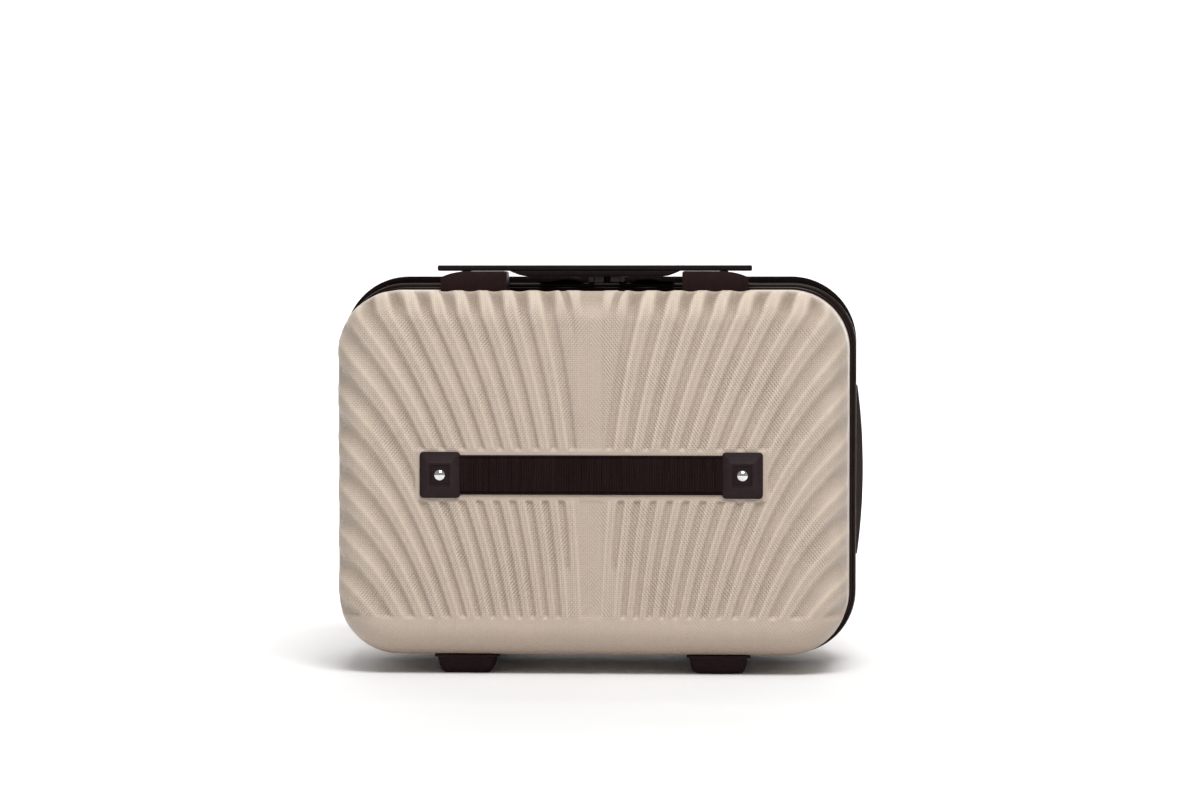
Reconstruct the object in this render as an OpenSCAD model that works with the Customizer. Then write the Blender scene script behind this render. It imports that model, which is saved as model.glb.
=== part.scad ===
// Small hard-shell travel case that stands on four feet: two deep ribbed
// pans joined by a coil zip on three sides and a cloth hinge underneath,
// a flat lifting handle on top, an elastic band across the back and a
// combination lock on the side of the lid.
// X runs across the case, -Y is the back with the elastic band, +Y is the
// lid, +Z is up. The origin is on the floor under the middle of the box.

/* [Shells] */
// Half of the width across the rims
half_w = 161.6; // [150:0.1:175]
// Height of the underside of the rims above the floor
rim_bottom = 9.1; // [8.5:0.1:10]
// Height of the top of the rims above the floor
rim_top = 239.2; // [225:0.1:250]
// Corner radius of the outline
corner_r = 38; // [34:0.5:42]
// Depth of the back pan from rim to face
back_depth = 75; // [68:1:80]
// Wall thickness
wall = 2.4; // [2:0.1:3]
// Radius between the face and the walls
face_r = 20; // [14:1:22]
// How far the side and bottom walls lean in over the depth
draft = 4; // [2:0.5:5]
// Depth of the level seat for the handle in the top wall
seat_drop = 1.2; // [0.6:0.1:1.4]
// Sideways lie of the lid and zip against the back pan
lid_shift = 1.8; // [0:0.1:2]

/* [Zip] */
// Distance from the zip centre to each rim
rim_gap = 8; // [7.5:0.1:9]
// How far the binding stands out at the sides
bead_side = 2.4; // [2:0.1:2.8]
// How far the binding stands out at the top
bead_top = 4.3; // [3.8:0.1:4.4]
// How far the coil stands out at the sides
coil_side = 2.9; // [2.7:0.1:3.2]
// How far the coil stands out at the top
coil_top = 8.8; // [8.4:0.1:9]
// Where the two sliders meet, from the middle
meet_x = 6.8; // [0:0.1:9]
// Length of a pull tab from its pivot
tab_len = 33; // [26:1:36]

/* [Handle] */
// Half length of the handle strip
strip_half = 99.2; // [99:0.1:101]
// Thickness of the strip
strip_t = 3.5; // [3.2:0.1:3.6]
// Height of the top of the strip above the floor
strip_top = 254.6; // [254.5:0.1:255]
// Width of the strip
strip_w = 21; // [18:0.5:22]
// Width of the grip
grip_w = 24; // [22:0.5:25]
// Middle of the handle, behind the zip
handle_y = 27; // [27:0.1:29]

/* [Elastic band] */
// Width of the webbing
web_w = 24.4; // [22:0.1:25.4]
// Thickness of the webbing
web_t = 1.4; // [1:0.1:1.6]
// Height of the middle of the band above the floor
web_z = 125; // [115:0.5:135]
// Half the distance between the two rivets
rivet_x = 93.3; // [85:0.1:100]
// Width of a square end cap
cap_w = 25; // [24:0.5:27]
// Height of a square end cap
cap_h = 28.5; // [27.5:0.5:31]
// Thickness of a square end cap
cap_t = 3.6; // [3.2:0.1:4]

/* [Feet] */
// Distance of each foot from the middle
foot_x = 78.6; // [70:0.1:90]
// Width of the flange of a foot
foot_w = 40; // [34:0.5:42]
// Depth of the flange of a foot
foot_d = 32; // [28:0.5:34]
// Distance of the middle of a foot from the zip
foot_y = 53; // [52:0.5:56]

/* [Lock] */
// Height of the middle of the lock above the floor
lock_z = 123.5; // [110:0.5:130]
// Half length of the lock housing
lock_half = 55; // [54:0.5:57]
// Distance of the lock from the zip
lock_y = 26; // [25:0.5:30]

/* [Hidden] */
$fn = 64;

shell_c = [0.77, 0.70, 0.64];
black_c = [0.10, 0.09, 0.09];
grey_c = [0.22, 0.21, 0.21];
steel_c = [0.72, 0.72, 0.73];
cloth_c = [0.16, 0.15, 0.16];

rivet_dome = 1.4;
// the lid is deeper by what the band and its rivets add to the back
lid_depth = back_depth + cap_t + rivet_dome;
lock_proud = 8.1;
wall_lean = atan(draft / lid_depth);
lock_wall_x = half_w + lid_shift - draft * (lock_y - rim_gap) / lid_depth;
left_x = -half_w + lid_shift - coil_side;
right_x = lock_wall_x + lock_proud * cos(wall_lean);
// moves everything so that the box is centred on the origin
off_x = (left_x + right_x) / 2;
face_y = rim_gap + back_depth;
top_inner = wall + seat_drop;
hinge_z = rim_bottom - 2.5;
strip_bot = strip_top - strip_t;
seat_z = rim_top - seat_drop;
arm_x = 56;
pin_x = 93;
pin_z = 244;
tooth_gap = 0.2;
coil_z = rim_top + coil_top;
tab_rise = 6.7;

module at_case() translate([-off_x, 0, 0]) children();
module at_lid() translate([-off_x + lid_shift, 0, 0]) children();
// pan space (x, height, depth from the zip plane) to the back half
module to_back() rotate([90, 0, 0]) children();
// pan space to the lid half
module to_front() mirror([0, 1, 0]) rotate([90, 0, 0]) children();

// outline of the case, grown at the sides, the top and the bottom
module outline(side, top, bottom, r) {
    x = half_w + side - r;
    z1 = rim_top + top - r;
    z0 = rim_bottom - bottom + r;
    translate([-x, z0]) circle(r);
    translate([x, z0]) circle(r);
    translate([-x, z1]) circle(r);
    translate([x, z1]) circle(r);
    translate([-x, z0 - r]) square([2 * x, z1 - z0 + 2 * r]);
    translate([-x - r, z0]) square([2 * x + 2 * r, z1 - z0]);
}

// corner of a pan face: a puck with a rounded edge
module puck(r, h, f) {
    rotate_extrude($fn = 48)
        polygon(concat([[0, 0], [r, 0]],
            [for (a = [0 : 15 : 90]) [r - f + f * cos(a), h - f + f * sin(a)]],
            [[0, h]]));
}

// solid pan from depth y0 to y1, moved in from the outline by inset
module pan(y0, y1, inset, top_inset, f, lean_depth) {
    r = corner_r - inset;
    x = half_w - corner_r;
    zt = rim_top - top_inset - r;
    zb = rim_bottom + corner_r;
    k = (y1 - f - rim_gap) / lean_depth;
    hull() {
        for (sx = [-1, 1]) {
            translate([sx * x, zt, y0]) cylinder(r = r, h = 0.4, $fn = 48);
            translate([sx * x, zb, y0]) cylinder(r = r, h = 0.4, $fn = 48);
            translate([sx * (x - draft * k), zt - 0.6 * k, y1 - f])
                puck(r, f, f);
            translate([sx * (x - draft * k), zb + draft * k, y1 - f])
                puck(r, f, f);
        }
    }
}

module shell(depth) {
    difference() {
        pan(rim_gap, rim_gap + depth, 0, 0, face_r, depth);
        pan(rim_gap - 1, rim_gap + depth - wall, wall, top_inner,
            face_r - wall, depth);
    }
}

module lining(depth) {
    difference() {
        pan(rim_gap + 1, rim_gap + depth - wall - 0.3, wall + 0.3,
            top_inner + 3.2, face_r - wall - 0.3, depth);
        pan(rim_gap, rim_gap + depth - wall - 1.5, wall + 1.5,
            top_inner + 4.4, face_r - wall - 1.5, depth);
    }
}

// the rounded binding on a rim, in pan space
module binding(shift) {
    translate([0, 0, 4]) linear_extrude(rim_gap - 4) difference() {
        translate([shift, 0])
            outline(bead_side, bead_top, 2.5, corner_r + 3);
        outline(-wall, -top_inner, -wall, corner_r - wall);
    }
}

// half of the zip tape: sides and top, in pan space
module tape() {
    translate([0, 0, tooth_gap]) linear_extrude(4 - tooth_gap) difference() {
        outline(coil_side - 2, coil_top - 2, 2.5, corner_r + 3);
        outline(coil_side - 4, coil_top - 5.4, 0.9, corner_r + 1);
        translate([-120, 0]) square([240, 30]);
    }
}

// half of the coil: it ends above the bottom corners
module coil() {
    translate([0, 0, tooth_gap]) linear_extrude(3 - tooth_gap) difference() {
        outline(coil_side, coil_top, 2, corner_r + 4);
        outline(coil_side - 2, coil_top - 2, 2.5, corner_r + 3);
        translate([-200, 0]) square([400, 44]);
    }
}

// half of the cloth hinge under the case
module hinge_leaf() {
    translate([-119.5, hinge_z, tooth_gap]) cube([239, 1.5, 4 - tooth_gap]);
}

// rounded flange and a body that tapers down to the floor
module foot(depth) {
    slope = draft * (foot_y - rim_gap) / depth;
    z1 = rim_bottom + slope;
    lean = atan(draft / depth);
    difference() {
        union() {
            translate([0, 0, z1]) rotate([lean, 0, 0])
                translate([0, 0, -2]) linear_extrude(1.95) {
                    square([foot_w - 8, foot_d], center = true);
                    square([foot_w, foot_d - 8], center = true);
                    for (sx = [-1, 1], sy = [-1, 1])
                        translate([sx * (foot_w / 2 - 4),
                            sy * (foot_d / 2 - 4)]) circle(4);
                }
            intersection() {
                translate([0, 50, 0]) rotate([90, 0, 0]) linear_extrude(100)
                    polygon([[-13.2, 0], [13.2, 0], [15.2, 1], [16.4, 2.6],
                        [18.5, z1 - 1], [-18.5, z1 - 1], [-16.4, 2.6],
                        [-15.2, 1]]);
                translate([-50, 0, 0]) rotate([90, 0, 90])
                    linear_extrude(100)
                    polygon([[-10, 0], [10, 0], [11.5, 1], [13.5, z1 - 1],
                        [-13.5, z1 - 1], [-11.5, 1]]);
            }
        }
        // countersunk hole for the screw, open underneath
        translate([0, 0, -1]) cylinder(r = 4.2, h = 3.5);
        cylinder(r = 2.05, h = 20);
    }
}

// screw of a foot with its nut plate inside the pan
module foot_screw(depth) {
    slope = draft * (foot_y - rim_gap) / depth;
    z1 = rim_bottom + slope;
    translate([0, 0, 0.8]) cylinder(r = 3.9, h = 1.6);
    translate([0, 0, 0.8]) cylinder(r = 2, h = z1 + 4.4 - 0.8);
    translate([0, 0, z1 + wall + 0.9]) cylinder(r = 6, h = 1.2);
}

// the way of a screw through the bottom wall
module foot_bore() translate([0, 0, 5]) cylinder(r = 2.05, h = 15);

module at_feet() for (sx = [-1, 1])
    translate([sx * foot_x, 0, 0]) children();

// ---- back half ----
module back_shell() color(shell_c) at_case() difference() {
    to_back() shell(back_depth);
    // level seat for the handle
    translate([-97.4, -62, seat_z]) cube([194.8, 62 - rim_gap + 1, 10]);
    for (sx = [-1, 1]) {
        translate([sx * rivet_x, -face_y - 1, web_z]) rotate([-90, 0, 0])
            cylinder(r = 1.6, h = 10);
        for (x = [60.5, 72]) translate([sx * x, -handle_y, 230])
            cylinder(r = 1.85, h = 12);
    }
    translate([0, -foot_y, 0]) at_feet() foot_bore();
}

module back_piping() color(black_c) at_case() to_back()
    binding(lid_shift);

module zip_tape_back() color(cloth_c) at_lid() to_back() tape();
module zip_teeth_back() color(black_c) at_lid() to_back() coil();
module hinge_tape_back() color(cloth_c) at_lid() to_back() hinge_leaf();

module back_lining() color(cloth_c) at_case() difference() {
    to_back() lining(back_depth);
    for (sx = [-1, 1]) {
        translate([sx * rivet_x, -face_y - 1, web_z]) rotate([-90, 0, 0])
            cylinder(r = 7, h = 10);
        translate([sx * foot_x, -foot_y, 5]) cylinder(r = 6.4, h = 14);
    }
}

// row of elastic loops on the inner face
module bottle_loops() color(black_c) at_case()
    translate([-118, -(face_y - wall - 1.6), 96]) difference() {
        cube([236, 2.2, 30]);
        for (i = [0 : 5]) translate([8 + i * 38, 0.5, -1])
            cube([30, 1, 32]);
    }

module strap_webbing() color(black_c) at_case() difference() {
    translate([-rivet_x - 10, -face_y - web_t, web_z - web_w / 2])
        cube([2 * rivet_x + 20, web_t - 0.02, web_w]);
    for (sx = [-1, 1]) translate([sx * rivet_x, -face_y - 5, web_z])
        rotate([-90, 0, 0]) cylinder(r = 1.6, h = 10);
}

// square cap with sloping borders and a flat middle
module strap_cap() color(black_c) difference() {
    intersection() {
        translate([0, 0, web_z - 20]) linear_extrude(40)
            polygon([[-cap_w / 2, -face_y], [cap_w / 2, -face_y],
                [cap_w / 2, -face_y - 1.9], [7.2, -face_y - cap_t],
                [-7.2, -face_y - cap_t], [-cap_w / 2, -face_y - 1.9]]);
        translate([-20, 0, web_z]) rotate([90, 0, 90]) linear_extrude(40)
            polygon([[-face_y, -cap_h / 2], [-face_y, cap_h / 2],
                [-face_y - 1.9, cap_h / 2], [-face_y - cap_t, 7.6],
                [-face_y - cap_t, -7.6], [-face_y - 1.9, -cap_h / 2]]);
    }
    // room for the webbing underneath
    translate([-10.1, -face_y - web_t - 0.02, web_z - web_w / 2 - 0.1])
        cube([20.2, web_t + 1, web_w + 0.2]);
    translate([0, -face_y - 9, web_z]) rotate([-90, 0, 0])
        cylinder(r = 1.6, h = 12);
}
// the band leaves each cap towards the middle
module cap_mouth(dir) translate([dir > 0 ? 0 : -20, -face_y - web_t - 0.02,
    web_z - web_w / 2 - 0.1]) cube([20, web_t + 1, web_w + 0.2]);
module strap_cap_left() color(black_c) at_case()
    translate([-rivet_x, 0, 0]) difference() { strap_cap(); cap_mouth(1); }
module strap_cap_right() color(black_c) at_case()
    translate([rivet_x, 0, 0]) difference() { strap_cap(); cap_mouth(-1); }

module strap_rivets() color(steel_c) at_case() for (sx = [-1, 1])
    translate([sx * rivet_x, -face_y, web_z]) rotate([90, 0, 0]) {
        translate([0, 0, cap_t]) intersection() {
            translate([0, 0, -3.1]) sphere(r = 3.1 + rivet_dome);
            cylinder(r = 3.3, h = 5);
        }
        translate([0, 0, -3.95]) cylinder(r = 1.55, h = 4.05 + cap_t);
    }

module strap_washers() color(steel_c) at_case() for (sx = [-1, 1])
    translate([sx * rivet_x, -face_y + wall + 0.05, web_z])
        rotate([-90, 0, 0]) difference() {
            cylinder(r = 6.5, h = 1.4);
            translate([0, 0, -1]) cylinder(r = 1.56, h = 5);
        }

module back_foot(sx) color(black_c) at_case()
    translate([sx * foot_x, -foot_y, 0]) mirror([0, 1, 0]) foot(back_depth);
module foot_back_left() back_foot(-1);
module foot_back_right() back_foot(1);
module foot_screws_back() color(steel_c) at_case()
    translate([0, -foot_y, 0]) at_feet() foot_screw(back_depth);

// block that carries one end of the handle
module bracket() color(black_c) difference() {
    translate([0, -handle_y + 13, 0]) rotate([90, 0, 0]) linear_extrude(26)
        polygon([[55.3, seat_z + 0.02], [96.9, seat_z + 0.02],
            [96.9, 246.2], [96.5, 247.1], [94.5, 248.1], [91.1, 249.3],
            [87, 250.2], [80.8, 250.9], [56.7, 250.9], [55.3, 249.6]]);
    // channel for the tongue, open at the top and the outer end
    translate([81.6, -handle_y - 6, 240]) cube([20, 12, 20]);
    translate([76.4, -handle_y - 6, 246.3]) cube([10, 12, 20]);
    // blind slots for the ends of the cross pin
    for (x = [86.5, 93]) translate([x, -handle_y - 9.9, pin_z - 0.2])
        rotate([-90, 0, 0]) cylinder(r = 2, h = 19.8);
    translate([86.5, -handle_y - 9.9, pin_z - 2.2]) cube([6.5, 19.8, 4]);
    for (x = [60.5, 72]) translate([x, -handle_y, 230])
        cylinder(r = 1.8, h = 15.5);
}
module handle_bracket_left() color(black_c) at_case()
    mirror([1, 0, 0]) bracket();
module handle_bracket_right() color(black_c) at_case() bracket();

module handle_backplates() color(steel_c) at_case()
    for (m = [0, 1]) mirror([m, 0, 0]) difference() {
        translate([54, -handle_y - 12, rim_top - top_inner - 1.85])
            cube([26, 24, 1.5]);
        for (x = [60.5, 72]) translate([x, -handle_y, 220])
            cylinder(r = 1.85, h = 20);
    }

module handle_screws() color(steel_c) at_case()
    for (sx = [-1, 1], x = [60.5, 72]) translate([sx * x, -handle_y, 0]) {
        translate([0, 0, rim_top - top_inner - 3.15])
            cylinder(r = 3.6, h = 1.3);
        translate([0, 0, rim_top - top_inner - 3.15])
            cylinder(r = 1.75, h = 12.9);
    }

// ---- handle ----
// soft grip under and around the middle of the strip
module handle_grip() color(black_c) at_case()
    difference() {
        translate([0, -handle_y + grip_w / 2, 0]) rotate([90, 0, 0])
            linear_extrude(grip_w)
            polygon([[-44, 247.6], [44, 247.6], [47, 248.3], [54, strip_bot],
                [54, strip_top], [-54, strip_top], [-54, strip_bot],
                [-47, 248.3]]);
        translate([-60, -handle_y - 9.05, strip_bot + 0.7])
            cube([120, 18.1, 1.2]);
    }

// spring strip inside the grip
module handle_core() color(grey_c) at_case()
    translate([-arm_x + 2.2, -handle_y - 9, strip_bot + 0.72])
        cube([2 * arm_x - 4.4, 18, 1.16]);

// free end of the strip
module strip_end() color(black_c) {
    translate([arm_x, -handle_y + strip_w / 2, strip_bot + strip_t / 2])
        rotate([90, 0, 0]) cylinder(r = strip_t / 2, h = strip_w);
    translate([arm_x, -handle_y - strip_w / 2, strip_bot])
        cube([strip_half - arm_x, strip_w, strip_t]);
}
// slanted tongue under the end of the strip, with the cross pin that runs in the
// slots of the bracket
module tongue() color(black_c) {
    translate([0, -handle_y + 5.5, 0]) rotate([90, 0, 0])
        linear_extrude(11)
        polygon([[79, strip_bot], [83.6, strip_bot], [86, 249.9],
            [91, 248.7], [94.4, 247.5], [96, 246.6], [96, 243.4],
            [90, 243.4], [79, 248.8]]);
    translate([pin_x, -handle_y + 5.5, pin_z]) rotate([90, 0, 0])
        cylinder(r = 2.3, h = 11);
    translate([pin_x, -handle_y + 9.5, pin_z]) rotate([90, 0, 0])
        cylinder(r = 1.5, h = 19);
}
module handle_end_right() color(black_c) at_case() strip_end();
module handle_end_left() color(black_c) at_case()
    mirror([1, 0, 0]) strip_end();
module handle_tongue_right() color(black_c) at_case() tongue();
module handle_tongue_left() color(black_c) at_case()
    mirror([1, 0, 0]) tongue();

// ---- sliders and pull tabs ----
// body over the coil with a wing on the back side and a pivot pin
module slider() color(steel_c) difference() {
    union() {
        translate([-6, -7.4, coil_z + 0.5]) cube([12, 12.2, 2]);
        translate([-6, -7.4, rim_top + bead_top + 0.4])
            cube([12, 3, coil_z - rim_top - bead_top + 0.4]);
        translate([3.6, -7.2, rim_top + tab_rise]) rotate([90, 0, 0])
            cylinder(r = 1.2, h = 4.8);
        translate([3.6, -11.6, rim_top + tab_rise]) rotate([90, 0, 0])
            cylinder(r = 1.9, h = 0.8);
    }
    // nose corners taken off
    translate([-6, -7.5, coil_z - 10]) rotate([0, 0, 45])
        cube([3, 3, 40], center = true);
    translate([-6, 4.8, coil_z - 10]) rotate([0, 0, 45])
        cube([3, 3, 40], center = true);
}
module slider_right() color(steel_c) at_case()
    translate([meet_x + 6.3, 0, 0]) slider();
module slider_left() color(steel_c) at_case()
    translate([meet_x - 6.3, 0, 0]) mirror([1, 0, 0]) slider();

// bowed tab with a round eye, pivot at the origin of its own space
module pull_tab() color(black_c) difference() {
    union() {
        translate([0, -8.1, 0]) rotate([90, 0, 0]) cylinder(r = 2.15, h = 3.3);
        translate([0, -8.1, 0]) rotate([90, 0, 0]) linear_extrude(3.3)
            polygon([[0, -1.6], [8, -1.6], [8, 0.4], [4, 1], [0, 2.1]]);
        translate([0, -4.6, 0]) rotate([90, 0, 0]) linear_extrude(6.8)
            polygon(concat(
                [for (i = [0 : 10]) [5.2 + (tab_len - 12.2) * i / 10,
                    -1.6 + 1.6 * sin(18 * i)]],
                [for (i = [10 : -1 : 0]) [5.2 + (tab_len - 12.2) * i / 10,
                    -0.1 + 1.6 * sin(18 * i)]]));
        translate([tab_len - 7.5, -11.6, -1.7]) cube([7.5, 7.2, 2.6]);
    }
    translate([0, 0, 0]) rotate([90, 0, 0]) cylinder(r = 1.26, h = 20);
}
module pull_tab_right() color(black_c) at_case()
    translate([meet_x + 6.3 + 3.6, 0, rim_top + tab_rise]) pull_tab();
module pull_tab_left() color(black_c) at_case()
    translate([meet_x - 6.3 - 3.6, 0, rim_top + tab_rise])
        mirror([1, 0, 0]) pull_tab();

// ---- lid half ----
// lock space: x out of the side wall, y along it, z up
module at_lock() at_case() translate([lock_wall_x, lock_y, lock_z])
    rotate([0, 0, wall_lean]) children();

module lid_hole(y, z, d) at_lock() translate([-6, -y, -z])
    cube([d, 2 * y, 2 * z]);

module front_shell() color(shell_c) difference() {
    at_lid() difference() {
        to_front() shell(lid_depth);
        translate([0, foot_y, 0]) at_feet() foot_bore();
    }
    lid_hole(9.2, 46.4, 12);
    at_lock() for (sy = [-1, 1], sz = [-1, 1])
        translate([-6, sy * 11, sz * 50]) rotate([0, 90, 0])
            cylinder(r = 1.3, h = 12);
}

module front_piping() color(black_c) at_lid() to_front() binding(0);
module zip_tape_front() color(cloth_c) at_lid() to_front() tape();
module zip_teeth_front() color(black_c) at_lid() to_front() coil();
module hinge_tape_front() color(cloth_c) at_lid() to_front() hinge_leaf();

module front_lining() color(cloth_c) difference() {
    at_lid() difference() {
        to_front() lining(lid_depth);
        for (sx = [-1, 1]) translate([sx * foot_x, foot_y, 5])
            cylinder(r = 6.4, h = 14);
    }
    at_lock() translate([-16, -15, -57]) cube([20, 30, 114]);
}

// flat net pocket on the inner face of the lid
module mesh_pocket() color(black_c) at_lid()
    translate([-120, rim_gap + lid_depth - wall - 3.4, 60])
        cube([240, 1.6, 124]);

module front_foot(sx) color(black_c) at_lid()
    translate([sx * foot_x, foot_y, 0]) foot(lid_depth);
module foot_front_left() front_foot(-1);
module foot_front_right() front_foot(1);
module foot_screws_front() color(steel_c) at_lid()
    translate([0, foot_y, 0]) at_feet() foot_screw(lid_depth);

// height of the bowed face of the lock at z
function bow(z) = 4.1 + 3.8 * (1 - pow(z / lock_half, 2));

dial_z = [-12.5, -3.5, 5.5];
dial_r = 6.9;
dial_ax = 1.2;
button_z = 19.6;
key_z = -33;

module lock_housing() color(black_c) at_lock() difference() {
    union() {
        // bowed bezel
        translate([0, 13, 0]) rotate([90, 0, 0]) linear_extrude(26)
            polygon(concat([[0.05, -lock_half], [bow(lock_half) - 0.9,
                -lock_half]],
                [for (i = [-10 : 10]) [bow(i * (lock_half - 0.9) / 10),
                    i * (lock_half - 0.9) / 10]],
                [[bow(lock_half) - 0.9, lock_half], [0.05, lock_half]]));
        // body through the wall
        translate([-9, -8.9, -46]) cube([9.1, 17.8, 92]);
    }
    // mechanism room, split by two webs that hold the axle and a block
    // that holds the key cylinder
    translate([-10, -7.5, -15.8]) cube([14.2, 15, 24.6]);
    translate([-10, -7.5, 11.2]) cube([14.2, 15, 32.8]);
    // dial windows in a shallow valley
    translate([6.3, -9, -17.5]) cube([4, 18, 28]);
    for (z = dial_z) translate([0, -7.4, z - 3.1]) cube([9, 14.8, 6.2]);
    // axle bore
    translate([dial_ax, 0, -18.8]) cylinder(r = 1.55, h = 30.4);
    // button pocket and slot
    translate([6, -6.5, button_z - 5.2]) cube([4, 13, 16]);
    translate([3, -2.6, button_z - 2.6]) cube([5, 5.2, 10.4]);
    // two slits for the zip pulls
    for (z = [37, 42]) translate([3, -5, z - 0.9]) cube([9, 10, 1.8]);
    // key cylinder bore
    translate([-10, 0, key_z]) rotate([0, 90, 0]) cylinder(r = 4.45, h = 30);
    // screw holes from behind
    for (sy = [-1, 1], sz = [-1, 1]) translate([-1, sy * 11, sz * 50])
        rotate([0, 90, 0]) cylinder(r = 1.2, h = 4.6);
}

module lock_clamp_frame() color(steel_c) at_lock() difference() {
    translate([-wall - 1.75, -13, -54]) cube([1.6, 26, 108]);
    translate([-8, -9, -46.2]) cube([10, 18, 92.4]);
    for (sy = [-1, 1], sz = [-1, 1]) translate([-8, sy * 11, sz * 50])
        rotate([0, 90, 0]) cylinder(r = 1.25, h = 10);
}

module lock_cover() color(grey_c) at_lock()
    translate([-10.2, -8.9, -46]) cube([1.15, 17.8, 92]);

module lock_axle() color(steel_c) at_lock()
    translate([dial_ax, 0, -18.6]) cylinder(r = 1.5, h = 30);

module lock_screws() color(steel_c) at_lock()
    for (sy = [-1, 1], sz = [-1, 1]) translate([0, sy * 11, sz * 50])
        rotate([0, 90, 0]) {
            translate([0, 0, -wall - 2.9]) cylinder(r = 1.9, h = 1.1);
            translate([0, 0, -wall - 2.9]) cylinder(r = 1.15, h = wall + 6.3);
        }

// thumb button with its neck and inner flange
module lock_button() color(grey_c) at_lock() translate([0, 0, button_z]) {
    translate([6.25, -5.4, -4.6]) cube([1.5, 10.8, 9.2]);
    for (z = [-3, -1, 1, 3]) translate([7.6, -4.6, z - 0.4])
        cube([0.45, 9.2, 0.8]);
    translate([3.4, -2.2, -2.2]) cube([3, 4.4, 4.4]);
    translate([2.3, -4.6, -4]) cube([1.4, 9.2, 8]);
}

// hook bar that holds the zip pulls, behind the button
module lock_latch() color(steel_c) at_lock() {
    translate([0.9, -3, 15.9]) cube([1.35, 6, 20.4]);
    translate([-1.8, -3, 34.9]) cube([2.8, 6, 1.4]);
}

// wheel with grip notches and ten raised places around its rim
module dial(z) color(black_c) at_lock()
    translate([dial_ax, 0, z - 2.8]) difference() {
        cylinder(r = dial_r, h = 5.6);
        translate([0, 0, -1]) cylinder(r = 1.56, h = 8);
        for (a = [0 : 36 : 324]) rotate([0, 0, a + 18])
            translate([dial_r + 0.35, 0, -1]) cylinder(r = 0.9, h = 8, $fn = 24);
    }
module dial_1() dial(dial_z[2]);
module dial_2() dial(dial_z[1]);
module dial_3() dial(dial_z[0]);

module key_cylinder() color(steel_c) at_lock() difference() {
    translate([-8.6, 0, key_z]) rotate([0, 90, 0]) {
        cylinder(r = 4.4, h = 14.6);
    }
    translate([2.2, -0.6, key_z - 2.8]) cube([10, 1.2, 5.6]);
}

back_shell();
back_piping();
zip_tape_back();
zip_teeth_back();
hinge_tape_back();
back_lining();
bottle_loops();
strap_webbing();
strap_cap_left();
strap_cap_right();
strap_rivets();
strap_washers();
foot_back_left();
foot_back_right();
foot_screws_back();
handle_bracket_left();
handle_bracket_right();
handle_backplates();
handle_screws();
front_shell();
front_piping();
zip_tape_front();
zip_teeth_front();
hinge_tape_front();
front_lining();
mesh_pocket();
foot_front_left();
foot_front_right();
foot_screws_front();
lock_housing();
lock_clamp_frame();
lock_cover();
lock_axle();
lock_screws();
lock_button();
lock_latch();
dial_1();
dial_2();
dial_3();
key_cylinder();
handle_grip();
handle_core();
handle_end_left();
handle_end_right();
handle_tongue_left();
handle_tongue_right();
slider_left();
slider_right();
pull_tab_left();
pull_tab_right();
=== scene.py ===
import math
import bpy
import bmesh
import numpy as np
from mathutils import Vector, Matrix


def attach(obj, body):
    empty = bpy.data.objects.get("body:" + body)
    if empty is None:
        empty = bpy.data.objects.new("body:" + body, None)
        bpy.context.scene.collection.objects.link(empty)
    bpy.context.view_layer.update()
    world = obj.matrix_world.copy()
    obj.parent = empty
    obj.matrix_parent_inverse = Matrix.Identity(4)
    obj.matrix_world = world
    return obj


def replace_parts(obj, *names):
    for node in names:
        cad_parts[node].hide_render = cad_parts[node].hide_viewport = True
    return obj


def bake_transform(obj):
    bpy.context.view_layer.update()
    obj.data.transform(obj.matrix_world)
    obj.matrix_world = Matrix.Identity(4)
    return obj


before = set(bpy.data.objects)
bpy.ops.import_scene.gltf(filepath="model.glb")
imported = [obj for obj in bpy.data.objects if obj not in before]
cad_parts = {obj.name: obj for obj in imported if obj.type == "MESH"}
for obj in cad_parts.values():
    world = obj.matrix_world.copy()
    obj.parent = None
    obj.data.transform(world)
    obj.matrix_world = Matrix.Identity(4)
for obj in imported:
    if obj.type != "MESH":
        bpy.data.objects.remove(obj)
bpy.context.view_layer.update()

# ---------------------------------------------------------------- sizes, mm
# x is measured from the middle of the back pan; OFF moves it to the frame
OFF = 3.94494697
HALF_W = 161.6
RIM_BOTTOM = 9.1
RIM_TOP = 239.2
CORNER = 38.0
WALL = 2.4
FACE_R = 20.0
DRAFT = 4.0
RIM_GAP = 8.0
SHIFT = 1.8
BACK_DEPTH = 75.0
LID_DEPTH = 80.0
SEAT_Z = 238.0
WEB_Z = 125.0
RIVET_X = 93.3
LEAN = math.atan(DRAFT / LID_DEPTH)
LOCK_X = HALF_W + SHIFT - DRAFT * (26 - RIM_GAP) / LID_DEPTH
LOCK_Y = 26.0
LOCK_Z = 123.5

rng = np.random.default_rng(7)


def to_frame(v):
    v = np.asarray(v, float).reshape(-1, 3).copy()
    v[:, 0] -= OFF
    return v * 0.001


def P(x, y, z):
    return ((x - OFF) * 0.001, y * 0.001, z * 0.001)


def sstep(a, b, x):
    t = np.clip((np.asarray(x, float) - a) / (b - a), 0, 1)
    return t * t * (3 - 2 * t)


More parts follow.
